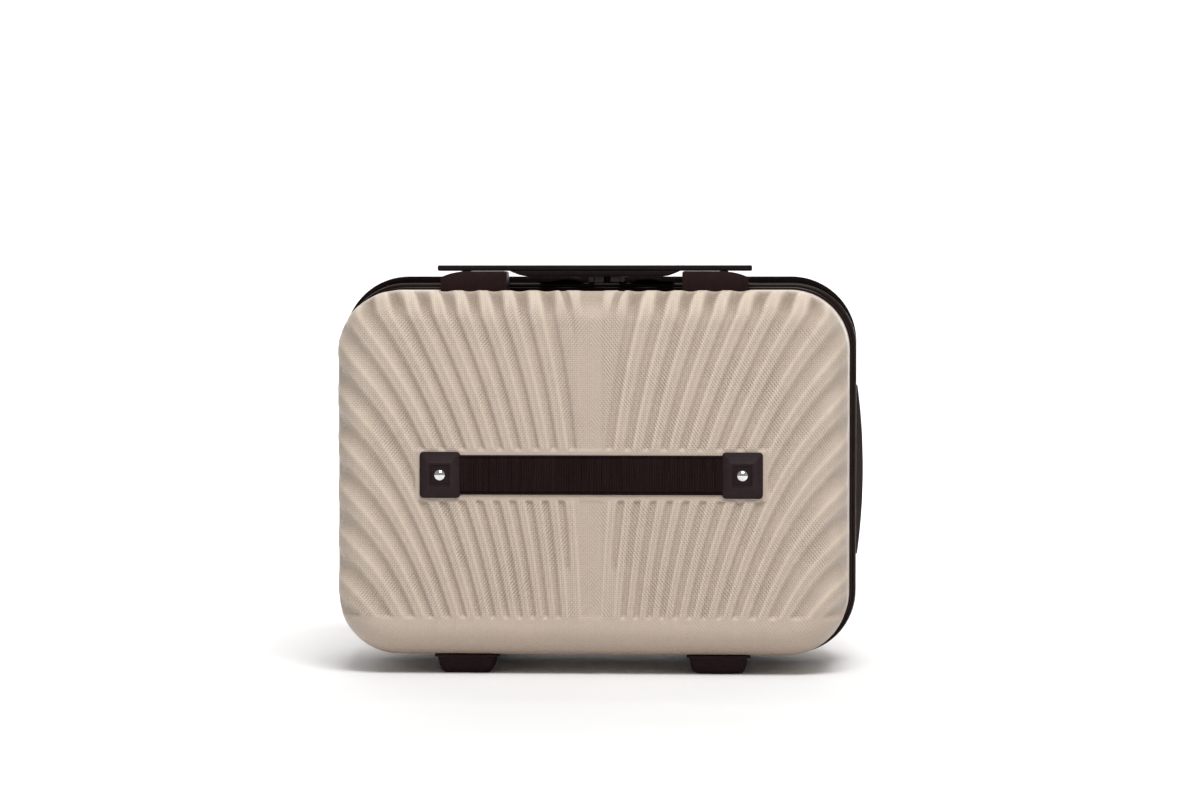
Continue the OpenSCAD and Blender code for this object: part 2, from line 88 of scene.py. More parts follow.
# ---------------------------------------------------------------- materials
class Mat:
    """Small helper that builds one node material around a Principled shader."""

    def __init__(self, name, rough=0.5, metal=0.0, spec=0.5, **more):
        self.m = bpy.data.materials.new(name)
        self.m.use_nodes = True
        self.t = self.m.node_tree
        self.t.nodes.clear()
        self.out = self.n("ShaderNodeOutputMaterial")
        self.b = self.n("ShaderNodeBsdfPrincipled")
        self.t.links.new(self.b.outputs[0], self.out.inputs[0])
        self.b.inputs["Roughness"].default_value = rough
        self.b.inputs["Metallic"].default_value = metal
        self.b.inputs["Specular IOR Level"].default_value = spec
        for key, value in more.items():
            self.b.inputs[key.replace("_", " ")].default_value = value
        self._co = None

    def n(self, kind, **props):
        node = self.t.nodes.new(kind)
        for key, value in props.items():
            setattr(node, key, value)
        return node

    def put(self, socket, value):
        if isinstance(value, bpy.types.NodeSocket):
            self.t.links.new(value, socket)
        else:
            socket.default_value = value

    def co(self):
        if self._co is None:
            self._co = self.n("ShaderNodeTexCoord").outputs["Object"]
        return self._co

    def math(self, op, a, b=0.0, c=0.0):
        node = self.n("ShaderNodeMath", operation=op)
        for i, value in enumerate((a, b, c)):
            self.put(node.inputs[i], value)
        return node.outputs[0]

    def xyz(self, vec):
        node = self.n("ShaderNodeSeparateXYZ")
        self.put(node.inputs[0], vec)
        return node.outputs

    def vec(self, x, y, z):
        node = self.n("ShaderNodeCombineXYZ")
        for i, value in enumerate((x, y, z)):
            self.put(node.inputs[i], value)
        return node.outputs[0]

    def scaled(self, vec, s):
        node = self.n("ShaderNodeMapping")
        self.put(node.inputs[0], vec)
        node.inputs["Scale"].default_value = s
        return node.outputs[0]

    def noise(self, vec, scale, detail=3.0, rough=0.5):
        node = self.n("ShaderNodeTexNoise")
        self.put(node.inputs["Vector"], vec)
        node.inputs["Scale"].default_value = scale
        node.inputs["Detail"].default_value = detail
        node.inputs["Roughness"].default_value = rough
        return node.outputs[0]

    def cells(self, vec, scale, feature="F1"):
        node = self.n("ShaderNodeTexVoronoi", feature=feature)
        self.put(node.inputs["Vector"], vec)
        node.inputs["Scale"].default_value = scale
        return node.outputs[0]

    def span(self, value, lo, hi, a=0.0, b=1.0):
        node = self.n("ShaderNodeMapRange")
        self.put(node.inputs[0], value)
        for i, v in enumerate((lo, hi, a, b)):
            node.inputs[i + 1].default_value = v
        return node.outputs[0]

    def mix(self, fac, a, b):
        node = self.n("ShaderNodeMix", data_type="RGBA")
        self.put(node.inputs[0], fac)
        self.put(node.inputs[6], a if isinstance(a, bpy.types.NodeSocket) else (*a, 1))
        self.put(node.inputs[7], b if isinstance(b, bpy.types.NodeSocket) else (*b, 1))
        return node.outputs[2]

    def bump(self, height, distance, strength=1.0, normal=None):
        node = self.n("ShaderNodeBump")
        node.inputs["Strength"].default_value = strength
        node.inputs["Distance"].default_value = distance
        self.put(node.inputs["Height"], height)
        if normal is not None:
            self.put(node.inputs["Normal"], normal)
        return node.outputs[0]

    def colour(self, value):
        self.put(self.b.inputs["Base Color"], value)

    def rough(self, value):
        self.put(self.b.inputs["Roughness"], value)

    def normal(self, value):
        self.put(self.b.inputs["Normal"], value)


WEB_Z_MM = 125.0
SHELL_DARK, SHELL_LIGHT = (0.290, 0.229, 0.184), (0.645, 0.535, 0.451)
SHELL_WARM, SHELL_PALE = (0.500, 0.402, 0.322), (0.66, 0.56, 0.48)


def shell_material():
    m = Mat("shell_emboss", spec=0.34)
    pat = m.n("ShaderNodeAttribute", attribute_name="pat").outputs["Vector"]
    u, v, k = m.xyz(pat)
    # twill emboss that slants the other way on each side of the middle
    au = m.math("ABSOLUTE", u)
    run = m.math("ADD", m.math("MULTIPLY", v, 0.62), m.math("MULTIPLY", au, 0.78))
    twill = m.math("SINE", m.math("MULTIPLY", run, 6.2832 / 1.70))
    cu = m.math("SINE", m.math("MULTIPLY", m.math("ADD", u, v), 6.2832 / 2.30))
    cv = m.math("SINE", m.math("MULTIPLY", m.math("SUBTRACT", u, v), 6.2832 / 2.30))
    check = m.math("MULTIPLY", cu, cv)
    patch = m.span(m.noise(m.scaled(pat, (0.05, 0.03, 0.0)), 1.0, 2.0), 0.4, 0.6, 0.25, 1.0)
    height = m.math("ADD", m.math("MULTIPLY", twill, m.math("MULTIPLY", patch, 0.6)),
                    m.math("MULTIPLY", check, 0.55))
    height = m.math("MULTIPLY", height, m.math("ADD", m.math("MULTIPLY", k, 0.85), 0.15))
    soft = m.noise(m.scaled(pat, (0.02, 0.02, 0.0)), 1.0, 3.0)
    speck = m.noise(m.scaled(pat, (1.0, 1.0, 0.0)), 0.55, 3.0, 0.75)
    base = m.mix(m.span(height, -1.0, 1.0), SHELL_DARK, SHELL_LIGHT)
    warm = m.mix(m.span(soft, 0.35, 0.65, 0.0, 0.5), base, SHELL_WARM)
    # painted highlight on the rib beads and the top-edge crests, painted shade in the grooves (the
    # crest attribute)
    painted_light = m.n("ShaderNodeAttribute", attribute_name="crest").outputs["Fac"]
    lit_and_shaded = m.mix(m.span(painted_light, 0.0, 1.0, 0.0, 0.56), warm, (0.74, 0.620, 0.490))
    lit_and_shaded = m.mix(m.span(painted_light, -1.0, 0.0, 0.90, 0.0), lit_and_shaded, (0.185, 0.120, 0.064))
    # painted warm shade towards the bottom of the face
    foot_ = m.mix(m.span(v, 4.0, 30.0, 0.75, 0.0), lit_and_shaded, (0.420, 0.318, 0.238))
    # painted darker shade on the lower fillet, fading out again on the underside
    under = m.math("MULTIPLY", m.span(v, 9.0, 19.5, 0.66, 0.0), m.span(v, -9.0, 3.0, 0.0, 1.0))
    foot_ = m.mix(under, foot_, (0.205, 0.128, 0.088))
    drift = m.noise(m.scaled(pat, (0.24, 0.17, 0.0)), 1.0, 3.0, 0.6)
    foot_ = m.mix(m.span(drift, 0.3, 0.7, 0.0, 0.16), foot_, (0.330, 0.255, 0.200))
    m.colour(m.mix(m.span(speck, 0.35, 0.7, 0.0, 0.26), foot_, SHELL_PALE))
    m.rough(m.span(m.math("ADD", height, speck), -1.0, 2.0, 0.46, 0.36))
    n1 = m.bump(height, 0.00026, 1.0)
    m.normal(m.bump(speck, 0.00005, 0.6, n1))
    return m.m


def inner_material():
    m = Mat("shell_inside", rough=0.5)
    c = m.co()
    g = m.noise(c, 900, 3.0)
    m.colour(m.mix(m.span(g, 0.3, 0.7), (0.40, 0.32, 0.27), (0.46, 0.37, 0.31)))
    m.normal(m.bump(g, 0.0001, 0.4))
    return m.m


def plastic(name, dark, light, rough=0.45, grain=1500, depth=0.00005, spec=0.26,
            edges=False):
    m = Mat(name, spec=spec)
    c = m.co()
    g = m.cells(c, grain)
    n = m.noise(c, 260, 4.0, 0.6)
    big = m.noise(c, 22, 3.0)
    base = m.mix(m.span(n, 0.3, 0.7), dark, light)
    col = m.mix(m.span(big, 0.4, 0.7, 0.0, 0.35), base, tuple(1.35 * x for x in light))
    if edges:
        # painted highlight on the bevels and painted shade on the walls under them, from the crest
        # attribute
        t = m.n("ShaderNodeAttribute", attribute_name="crest").outputs["Fac"]
        col = m.mix(m.span(t, 0.0, 1.0, 0.0, 0.85), col, (0.037, 0.0245, 0.0275))
        col = m.mix(m.span(t, -1.0, 0.0, 0.85, 0.0), col, (0.0030, 0.0014, 0.0014))
    m.colour(col)
    m.rough(m.span(big, 0.3, 0.7, rough - 0.05, rough + 0.06))
    m.normal(m.bump(g, depth, 0.6, m.bump(n, depth * 1.5, 0.3)))
    return m.m


def fabric(name, dark, light, warp=0.9, weft=0.9, depth=0.00012, sheen=0.25, diag=False,
           spec=0.25):
    """Plain weave whose threads follow the object's own x, y and z."""
    m = Mat(name, rough=0.82, spec=spec, Sheen_Weight=sheen)
    x, y, z = m.xyz(m.scaled(m.co(), (1000, 1000, 1000)))
    a = m.math("ADD", x, m.math("MULTIPLY", y, 0.97))
    b = m.math("ADD", z, m.math("MULTIPLY", y, 0.53))
    if diag:
        a, b = m.math("ADD", a, b), m.math("SUBTRACT", a, b)
    sa = m.math("SINE", m.math("MULTIPLY", a, 6.2832 / warp))
    sb = m.math("SINE", m.math("MULTIPLY", b, 6.2832 / weft))
    w = m.math("MULTIPLY", sa, sb)
    fuzz = m.noise(m.co(), 1400, 3.0, 0.7)
    h = m.math("ADD", w, m.math("MULTIPLY", fuzz, 0.6))
    col = m.mix(m.span(h, -0.8, 1.3), dark, light)
    patch = m.noise(m.co(), 30, 3.0)
    m.colour(m.mix(m.span(patch, 0.4, 0.7, 0.0, 0.4), col, tuple(1.4 * q for q in light)))
    m.normal(m.bump(h, depth, 0.8))
    return m.m


def ribbed_elastic(name, dark, light, pitch=1.55, spec=0.08):
    """Woven elastic: cross ribs, uneven threads and a plain selvage."""
    m = Mat(name, rough=0.85, spec=spec)
    c = m.co()
    x, y, z = m.xyz(m.scaled(c, (1000, 1000, 1000)))
    rib = m.math("SINE", m.math("MULTIPLY", x, 6.2832 / pitch))
    cross = m.math("SINE", m.math("MULTIPLY", z, 6.2832 / 0.9))
    thread = m.noise(m.scaled(c, (1500, 700, 500)), 1.0, 3.0, 0.7)
    streak = m.noise(m.scaled(c, (430, 60, 26)), 1.0, 3.0, 0.65)
    off = m.math("ABSOLUTE", m.math("SUBTRACT", z, WEB_Z_MM))
    inner = m.span(off, 10.1, 10.6, 1.0, 0.0)
    h = m.math("ADD", m.math("MULTIPLY", rib, m.math("MULTIPLY", inner, 0.42)),
               m.math("MULTIPLY", cross, 0.12))
    h = m.math("ADD", h, m.span(thread, 0.25, 0.75, -0.55, 0.55))
    h = m.math("ADD", h, m.span(streak, 0.3, 0.7, -0.50, 0.50))
    line = m.math("MULTIPLY", m.span(off, 9.9, 10.6, 0.0, 1.0), m.span(off, 10.8, 11.3, 1.0, 0.0))
    h = m.math("SUBTRACT", h, m.math("MULTIPLY", line, 1.3))
    m.colour(m.mix(m.span(h, -1.1, 1.3), dark, light))
    m.normal(m.bump(h, 0.00012, 0.8))
    return m.m


def metal(name, a, b, rough, stretch=(300, 300, 3000), depth=0.00001, spec=0.5):
    m = Mat(name, metal=1.0, spec=spec)
    g = m.noise(m.scaled(m.co(), stretch), 1.0, 3.0, 0.6)
    big = m.noise(m.co(), 60, 2.0)
    m.colour(m.mix(m.span(g, 0.3, 0.7), a, b))
    m.rough(m.span(big, 0.3, 0.7, rough * 0.8, rough * 1.25))
    m.normal(m.bump(g, depth, 0.35))
    return m.m


MAT = {
    "shell": shell_material(),
    "inside": inner_material(),
    "binding": plastic("binding_gloss", (0.0118, 0.0063, 0.0057), (0.0190, 0.0105, 0.0094),
                       rough=0.32, grain=700, depth=0.00002, spec=0.15),
    "trim": plastic("trim_grain", (0.0135, 0.0058, 0.0064), (0.0195, 0.0090, 0.0098),
                    rough=0.50, spec=0.08),
    "cap": plastic("cap_satin", (0.0135, 0.0066, 0.0072), (0.0205, 0.0115, 0.0125),
                   rough=0.44, grain=1900, spec=0.10, edges=True),
    "grip": plastic("grip_soft", (0.0095, 0.0060, 0.0064), (0.0145, 0.0095, 0.0102),
                    rough=0.62, grain=1100, spec=0.03),
    "lock": plastic("lock_satin", (0.0210, 0.0125, 0.0100), (0.0310, 0.0190, 0.0155),
                    rough=0.33, grain=900, depth=0.00003, spec=0.22),
    "tape": fabric("zip_tape_weave", (0.0035, 0.0024, 0.0024), (0.0100, 0.0068, 0.0068),
                   warp=0.75, weft=0.75, sheen=0.0, spec=0.0),
    "coil": plastic("zip_coil_satin", (0.0080, 0.0050, 0.0050), (0.0150, 0.0100, 0.0100),
                    rough=0.60, grain=2500, depth=0.00002, spec=0.0),
    "web": ribbed_elastic("elastic_weave", (0.0022, 0.0006, 0.0006), (0.0225, 0.0100, 0.0102)),
    "lining": fabric("lining_weave", (0.045, 0.040, 0.042), (0.085, 0.078, 0.082),
                     warp=0.8, weft=0.8, sheen=0.3),
    "net": fabric("net_knit", (0.006, 0.006, 0.0065), (0.045, 0.043, 0.046),
                  warp=2.6, weft=2.6, depth=0.00025, sheen=0.15, diag=True),
    "steel": metal("zinc_steel", (0.50, 0.50, 0.51), (0.66, 0.66, 0.67), 0.30),
    "chrome": metal("chrome_polish", (0.78, 0.78, 0.79), (0.86, 0.86, 0.87), 0.09,
                    stretch=(500, 500, 500), depth=0.000004),
    "nickel": metal("nickel_satin", (0.26, 0.25, 0.24), (0.38, 0.37, 0.355), 0.26),
    "slider": metal("slider_black_nickel", (0.050, 0.043, 0.043), (0.105, 0.092, 0.092), 0.13,
                    stretch=(900, 900, 900), depth=0.00004),
    "digits": plastic("digit_white", (0.62, 0.62, 0.60), (0.72, 0.72, 0.70), rough=0.5),
}


# ---------------------------------------------------------------- mesh tools
def grid_faces(nu, nv, cu=False, cv=False, base=0):
    i = np.arange(nu if cu else nu - 1)
    j = np.arange(nv if cv else nv - 1)
    a, b = np.meshgrid(i, j, indexing="ij")
    a2, b2 = (a + 1) % nu, (b + 1) % nv
    f = np.stack([a * nv + b, a2 * nv + b, a2 * nv + b2, a * nv + b2], -1) + base
    return f.reshape(-1, 4).tolist()


def make(name, verts, faces, mat, body, slot=None, angle=38, recalc=True, raw=False):
    """Mesh piece from points in case millimetres; it rides on body."""
    me = bpy.data.meshes.new(name)
    co = verts if raw else to_frame(verts)
    me.from_pydata([tuple(map(float, q)) for q in co], [], faces)
    me.validate()
    if recalc:
        bm = bmesh.new()
        bm.from_mesh(me)
        bmesh.ops.recalc_face_normals(bm, faces=bm.faces)
        bm.to_mesh(me)
        bm.free()
    me.shade_smooth()
    me.set_sharp_from_angle(angle=math.radians(angle))
    o = bpy.data.objects.new(name, me)
    bpy.context.scene.collection.objects.link(o)
    for one in (mat if isinstance(mat, (list, tuple)) else [mat]):
        me.materials.append(MAT[one])
    if body:
        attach(o, body)
    return o


class Build:
    """Collects several closed bits into one mesh."""

    def __init__(self):
        self.v, self.f = [], []

    def add(self, verts, faces):
        base = sum(len(q) for q in self.v)
        self.v.append(np.asarray(verts, float).reshape(-1, 3))
        self.f += [[i + base for i in face] for face in faces]
        return self

    def done(self, name, mat, body, slot=None, **more):
        return make(name, np.concatenate(self.v), self.f, mat, body, slot, **more)


def loft(loops, cap0=True, cap1=True):
    """Quads between loops of equal count, with closed ends."""
    n = len(loops[0])
    verts = np.concatenate([np.asarray(q, float) for q in loops])
    faces = grid_faces(len(loops), n, cv=True)
    if cap0:
        faces.append(list(range(n))[::-1])
    if cap1:
        base = (len(loops) - 1) * n
        faces.append([base + i for i in range(n)])
    return verts, faces


def rrect(hx, hy, r, n=6):
    """Rounded rectangle, 4 n points, counter-clockwise."""
    r = min(r, hx - 1e-3, hy - 1e-3)
    out = []
    for k, (sx, sy) in enumerate(((1, 1), (-1, 1), (-1, -1), (1, -1))):
        for i in range(n):
            a = math.radians(90 * k + 90 * i / (n - 1))
            out.append((sx * (hx - r) + r * math.cos(a), sy * (hy - r) + r * math.sin(a)))
    return np.array(out)


def plate(loop2, z):
    return np.column_stack([loop2, np.full(len(loop2), float(z))])


def contour(side, top, bottom, r, dx=0.0, nx=96, nz=64, na=20):
    """Closed outline in (x, z) that starts at the bottom middle and runs to +x."""
    x = HALF_W + side - r
    z1 = RIM_TOP + top - r
    z0 = RIM_BOTTOM - bottom + r
    pts, nrm = [], []

    def line(p, q, n, steps):
        for i in range(steps):
            t = i / steps
            pts.append((p[0] + (q[0] - p[0]) * t, p[1] + (q[1] - p[1]) * t))
            nrm.append(n)

    def arc(c, a0):
        for i in range(na):
            a = math.radians(a0 + 90 * i / na)
            pts.append((c[0] + r * math.cos(a), c[1] + r * math.sin(a)))
            nrm.append((math.cos(a), math.sin(a)))

    line((0, z0 - r), (x, z0 - r), (0, -1), nx // 2)
    arc((x, z0), -90)
    line((x + r, z0), (x + r, z1), (1, 0), nz)
    arc((x, z1), 0)
    line((x, z1 + r), (-x, z1 + r), (0, 1), nx)
    arc((-x, z1), 90)
    line((-x - r, z1), (-x - r, z0), (-1, 0), nz)
    arc((-x, z0), 180)
    line((-x, z0 - r), (0, z0 - r), (0, -1), nx // 2)
    pts = np.array(pts)
    pts[:, 0] += dx
    return pts, np.array(nrm)


# ---------------------------------------------------------------- the pans
def pan(inset, top_inset, f, y1, lean_depth, y_rim, nx, nz, na, nf, nw):
    """One face of a pan: points, normals and unrolled places, with its quads
    and its open loop at the rim. Depth is measured from the zip plane."""
    r = CORNER - inset
    rf = r - f
    k0 = (y1 - f - RIM_GAP) / lean_depth

    def rect(k):
        return (HALF_W - CORNER - DRAFT * k, RIM_TOP - top_inset - r - 0.6 * k,
                RIM_BOTTOM + CORNER + DRAFT * k)

    def axis(n):
        c = [-1.0] * na + list(np.linspace(-1, 1, n + 1)) + [1.0] * na
        q = list(np.linspace(-1, 0, na + 1)[:-1]) + [0.0] * (n + 1) + \
            list(np.linspace(0, 1, na + 1)[1:])
        return np.array(c), np.array(q)

    cx, qx = axis(nx)
    cz, qz = axis(nz)
    CX, CZ = np.meshgrid(cx, cz, indexing="ij")
    QX, QZ = np.meshgrid(qx, qz, indexing="ij")
    ex = QX * np.sqrt(1 - QZ ** 2 / 2)
    ez = QZ * np.sqrt(1 - QX ** 2 / 2)
    xr, zt, zb = rect(k0)
    zm, zh = (zt + zb) / 2, (zt - zb) / 2
    gx = CX * xr + ex * rf
    gz = zm + CZ * zh + ez * rf
    nc, nr = gx.shape
    pos = [np.stack([gx, np.full_like(gx, y1), gz], -1).reshape(-1, 3)]
    nor = [np.tile([0.0, 1.0, 0.0], (nc * nr, 1))]
    unr = [np.stack([gx, gz], -1).reshape(-1, 2)]
    ell = [np.zeros(nc * nr)]
    dirs = [np.zeros((nc * nr, 2))]
    faces = grid_faces(nc, nr)

    def gi(i, j):
        return i * nr + j

    loop = ([gi(i, 0) for i in range(nc - 1)] + [gi(nc - 1, j) for j in range(nr - 1)]
            + [gi(i, nr - 1) for i in range(nc - 1, 0, -1)]
            + [gi(0, j) for j in range(nr - 1, 0, -1)])
    fl = np.array(loop)
    bc = np.stack([CX.reshape(-1)[fl], CZ.reshape(-1)[fl]], -1)
    bn = np.stack([ex.reshape(-1)[fl], ez.reshape(-1)[fl]], -1)
    bn /= np.linalg.norm(bn, axis=1)[:, None]
    edge = np.stack([gx.reshape(-1)[fl], gz.reshape(-1)[fl]], -1)
    m = len(loop)
    last = loop
    count = nc * nr

    def ring(k, radius, y, ny, nn, length):
        nonlocal last, count
        a, t, b = rect(k)
        c = np.stack([bc[:, 0] * a, (t + b) / 2 + bc[:, 1] * (t - b) / 2], -1)
        q = c + bn * radius
        pos.append(np.column_stack([q[:, 0], np.full(m, y), q[:, 1]]))
        nor.append(np.column_stack([bn[:, 0] * nn, np.full(m, ny), bn[:, 1] * nn]))
        unr.append(edge + bn * length)
        ell.append(np.full(m, length))
        dirs.append(bn)
        now = list(range(count, count + m))
        count += m
        for i in range(m):
            j = (i + 1) % m
            faces.append([last[i], last[j], now[j], now[i]])
        last = now

    for i in range(1, nf + 1):
        a = math.pi / 2 * i / nf
        ring(k0, rf + f * math.sin(a), y1 - f + f * math.cos(a), math.cos(a),
             math.sin(a), f * a)
    span = y1 - f - y_rim
    for i in range(1, nw + 1):
        t = i / nw
        ring(k0 * (1 - t), r, y1 - f - span * t, 0.0, 1.0, f * math.pi / 2 + span * t)
    return {"pos": np.concatenate(pos), "nor": np.concatenate(nor),
            "unr": np.concatenate(unr), "ell": np.concatenate(ell),
            "dir": np.concatenate(dirs), "faces": faces, "loop": last}


def fan(p, w):
    """Number of the groove at a place of the unrolled pan, and its slope: a
    fan that opens from the middle column to the sides."""
    pc, wc = np.clip(p, 0, 170), np.clip(w, 15, 225)
    u, v = pc / 100, (wc - 123) / 100
    k = (0.38 + 8.81 * u - 0.46 * v - 4.47 * u * v + 1.99 * u ** 2 - 0.08 * v ** 2
         + 1.61 * u ** 2 * v + 0.11 * u * v ** 2 - 1.77 * u ** 3 + 0.07 * v ** 3)
    ku = (8.81 - 4.47 * v + 3.98 * u + 3.22 * u * v + 0.11 * v ** 2 - 5.31 * u ** 2) / 100
    kv = (-0.46 - 4.47 * u - 0.16 * v + 1.61 * u ** 2 + 0.22 * u * v + 0.21 * v ** 2) / 100
    squeeze = np.where(w > 225, 0.5, 1.0)
    k = k + ku * (p - pc) + kv * (w - wc) * squeeze
    return k, np.sqrt(ku ** 2 + (kv * squeeze) ** 2)


def relief(s, strap):
    """Depth of the pressed pattern, how strong the emboss is there, and the painted highlight and
    painted shade for the colour.
    """
    x, w = s["unr"][:, 0], s["unr"][:, 1]
    z = s["pos"][:, 2]
    p = np.abs(x)
    k, slope = fan(p, w)
    low = sstep(150, 100, w)
    side = sstep(90, 122, p)
    # flat-bottomed grooves near the middle, rounder and wider at the sides
    up = np.clip(s["dir"][:, 1], 0, 1)
    crest = sstep(218, 240, w) * up
    mid = (0.215 + 0.03 * low) * (1 - side) + 0.205 * side
    wide = (0.150 + 0.035 * low) * (1 - side) + 0.19 * side
    soft = 0.085 * (1 - side) + 0.16 * side
    wide = wide * (1 - crest) + 0.21 * crest
    soft = soft * (1 - crest) + 0.20 * crest
    f = k - mid
    n = np.round(f)
    d = np.abs(f - n)
    taper = np.ones_like(d)
    if strap:
        taper = np.where((n == 2) & (z < 109), sstep(58, 84, z), taper)
    keep = np.where(n == 1, sstep(139, 142, z) if strap else sstep(70, 150, z),
                    np.where(n < 1, 0.0, 1.0))
    keep = keep * np.where(taper < 1, sstep(0.0, 0.35, taper), 1)
    wide = wide * (0.25 + 0.75 * taper)
    groove = keep * (1 - sstep(wide - soft, wide + soft, d))
    depth = 1.72 + 0.38 * side + 1.0 * crest
    # two short grooves beside the top of the column
    xs = np.interp(w, [190, 200, 209, 222, 236, 250], [9.9, 9.9, 10.2, 12.4, 15.2, 18.4])
    grow = sstep(194, 232, w)
    short = grow * (1 - sstep(0.3 + 0.5 * grow, 1.2 + 1.9 * grow, np.abs(p - xs)))
    cut = np.maximum(groove * depth, short * (0.95 + 0.9 * crest))
    # shallow trough of the column
    trough = (0.62 + 0.9 * crest) * (1 - sstep(4.6, 9.4, p)) + \
        0.16 * np.exp(-((p - 6.6) / 0.8) ** 2)
    cut = np.maximum(cut, trough)
    crown = 0.12 * sstep(0.12, 0.32, d) * (1 - sstep(0, 1, cut))
    # a low round bead follows the outer edge of every groove
    fr = k - np.floor(k)
    beads = (np.exp(-((fr - 0.535) / 0.075) ** 2) + 0.45 * np.exp(-((fr - 0.86) / 0.07) ** 2)) * \
        sstep(0.9, 1.3, k) * (1 - sstep(0, 0.6, trough * sstep(9, 4, p)))
    crown = crown + 0.24 * beads * (1 - 0.5 * side)
    # ends: band below, top edge and side walls
    ends = sstep(35.2, 38.2, z)
    stop = 33.0 + 1.0 * up
    ends = ends * (1 - sstep(stop - 7.5, stop, s["ell"]))
    if strap:
        dx, dz = p - 108.2, np.abs(z - 124.65) - 14.9
        out = np.hypot(np.clip(dx, 0, None), np.clip(dz, 0, None)) + \
            np.minimum(np.maximum(dx, dz), 0)
        ends = ends * np.where(s["pos"][:, 1] > 60, sstep(0.0, 2.1, out), 1)
    flat = 1 - sstep(0.2, 0.7, trough * ends)
    emboss = (0.26 + 0.74 * ends) * (0.45 + 0.55 * flat)
    # painted highlight (above 0) on the beads and the top-edge crests, painted shade (below 0) in
    # the grooves, darkest at the top edge
    painted_groove_shade = np.clip(cut / (1.9 + 0.8 * crest), 0, 1) * (0.12 + 0.80 * crest)
    painted_ridge_highlight = beads + 0.9 * crest * (1 - sstep(0.1, 1.2, cut))
    return (crown - cut) * ends, emboss, (painted_ridge_highlight - painted_groove_shade) * ends


def shell(name, body, sign, depth, dx, strap, size):
    fine = 4
    nx, nz, na, nf, nw = size
    y1 = RIM_GAP + depth
    s = pan(0, 0, FACE_R, y1, depth, RIM_GAP, nx, nz, na, nf, nw)
    # beads holds the painted highlight and painted shade from relief
    h, emboss, beads = relief(s, strap)
    q = s["pos"] + s["nor"] * h[:, None]
    if strap:
        inside = sstep(98.0, 97.0, np.abs(q[:, 0])) * sstep(62.6, 61.6, q[:, 1]) * \
            np.where(s["dir"][:, 1] > 0.9, 1, 0)
        q[:, 2] = np.where(q[:, 2] > SEAT_Z, q[:, 2] + (SEAT_Z - q[:, 2]) * inside, q[:, 2])
    i = pan(WALL, WALL + 1.2, FACE_R - WALL, y1 - WALL, depth, RIM_GAP,
            nx // fine, nz // fine, na // fine, nf // fine, nw // fine)
    n = len(q)
    verts = np.concatenate([q, i["pos"]])
    faces = s["faces"] + [[a + n for a in face[::-1]] for face in i["faces"]]
    lo, li = s["loop"], [a + n for a in i["loop"]]
    for a in range(len(li)):
        run = [lo[(a * fine + b) % len(lo)] for b in range(fine + 1)]
        faces.append(run[::-1] + [li[a], li[(a + 1) % len(li)]])
    verts = verts.copy()
    verts[:, 0] += dx
    verts[:, 1] *= sign
    o = make(name, verts, faces, ["shell", "inside"], body, "shell", angle=60)
    me = o.data
    at = me.attributes.new("pat", "FLOAT_VECTOR", "POINT")
    pat = np.zeros((len(verts), 3), np.float32)
    pat[:n, 0], pat[:n, 1], pat[:n, 2] = s["unr"][:, 0], s["unr"][:, 1], emboss
    pat[n:, 0], pat[n:, 1] = i["unr"][:, 0], i["unr"][:, 1]
    at.data.foreach_set("vector", pat.reshape(-1))
    # crest attribute: painted highlight (above 0) and painted shade (below 0) for the shell colour
    at = me.attributes.new("crest", "FLOAT", "POINT")
    painted_light = np.zeros(len(verts), np.float32)
    painted_light[:n] = beads
    at.data.foreach_set("value", painted_light)
    index = np.zeros(len(me.polygons), np.int32)
    index[len(s["faces"]):] = 1
    me.polygons.foreach_set("material_index", index)
    me.update()
    return o


back = shell("back_pan", "case_back", -1, BACK_DEPTH, 0.0, True, (344, 220, 24, 28, 28))
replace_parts(back, "back_shell")
lid = shell("lid_pan", "lid", 1, LID_DEPTH, SHIFT, False, (260, 168, 20, 24, 24))


def lock_window(o):
    """Opening in the lid's side wall, in which the lock sits."""
    bm = bmesh.new()
    bm.from_mesh(o.data)
    gone = []
    for f in bm.faces:
        c = f.calc_center_median()
        if c.x > 0.12 and abs(c.y - LOCK_Y * 0.001) < 0.0090 and \
                abs(c.z - LOCK_Z * 0.001) < 0.0462:
            gone.append(f)
    bmesh.ops.delete(bm, geom=gone, context="FACES")
    rim = [e for e in bm.edges if len(e.link_faces) == 1]
    made = bmesh.ops.bridge_loops(bm, edges=rim)
    for f in made["faces"]:
        f.material_index = 1
        f.smooth = True
    bm.to_mesh(o.data)
    bm.free()
    o.data.update()


lock_window(lid)
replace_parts(lid, "front_shell")


# ---------------------------------------------------------------- binding, zip
def ring_piece(name, rings, y, body, mat, slot, keep=None, angle=40):
    """Closed profile swept round the case: rings are the outlines of the
    profile's points and y their distances from the zip plane."""
    n = len(rings[0])
    if keep is None:
        verts = np.concatenate([np.column_stack([r[:, 0], np.full(n, yy), r[:, 1]])
                                for r, yy in zip(rings, y)])
        faces = grid_faces(len(rings), n, cu=True, cv=True)
    else:
        rings = [r[keep] for r in rings]
        n = len(keep)
        verts = np.concatenate([np.column_stack([r[:, 0], np.full(n, yy), r[:, 1]])
                                for r, yy in zip(rings, y)])
        faces = grid_faces(len(rings), n, cu=True)
        faces.append([k * n for k in range(len(rings))])
        faces.append([k * n + n - 1 for k in range(len(rings))][::-1])
    return make(name, verts, faces, mat, body, slot, angle=angle)


BEAD = [(-1, 4.05), (-1, 7.9), (-0.4, 7.95), (0.0, 7.95), (0.02, 8.5), (0.10, 8.85),
        (0.22, 8.95), (0.33, 8.8), (0.40, 8.45), (0.44, 8.45), (0.50, 8.85),
        (0.58, 9.1), (0.68, 9.2), (0.78, 9.12), (0.87, 8.85), (0.94, 8.4), (0.985, 7.8),
        (1.0, 7.1), (1.0, 6.3), (1.0, 5.5), (0.97, 4.9), (0.90, 4.45), (0.80, 4.2),
        (0.66, 4.08), (0.4, 4.05), (-0.3, 4.05)]


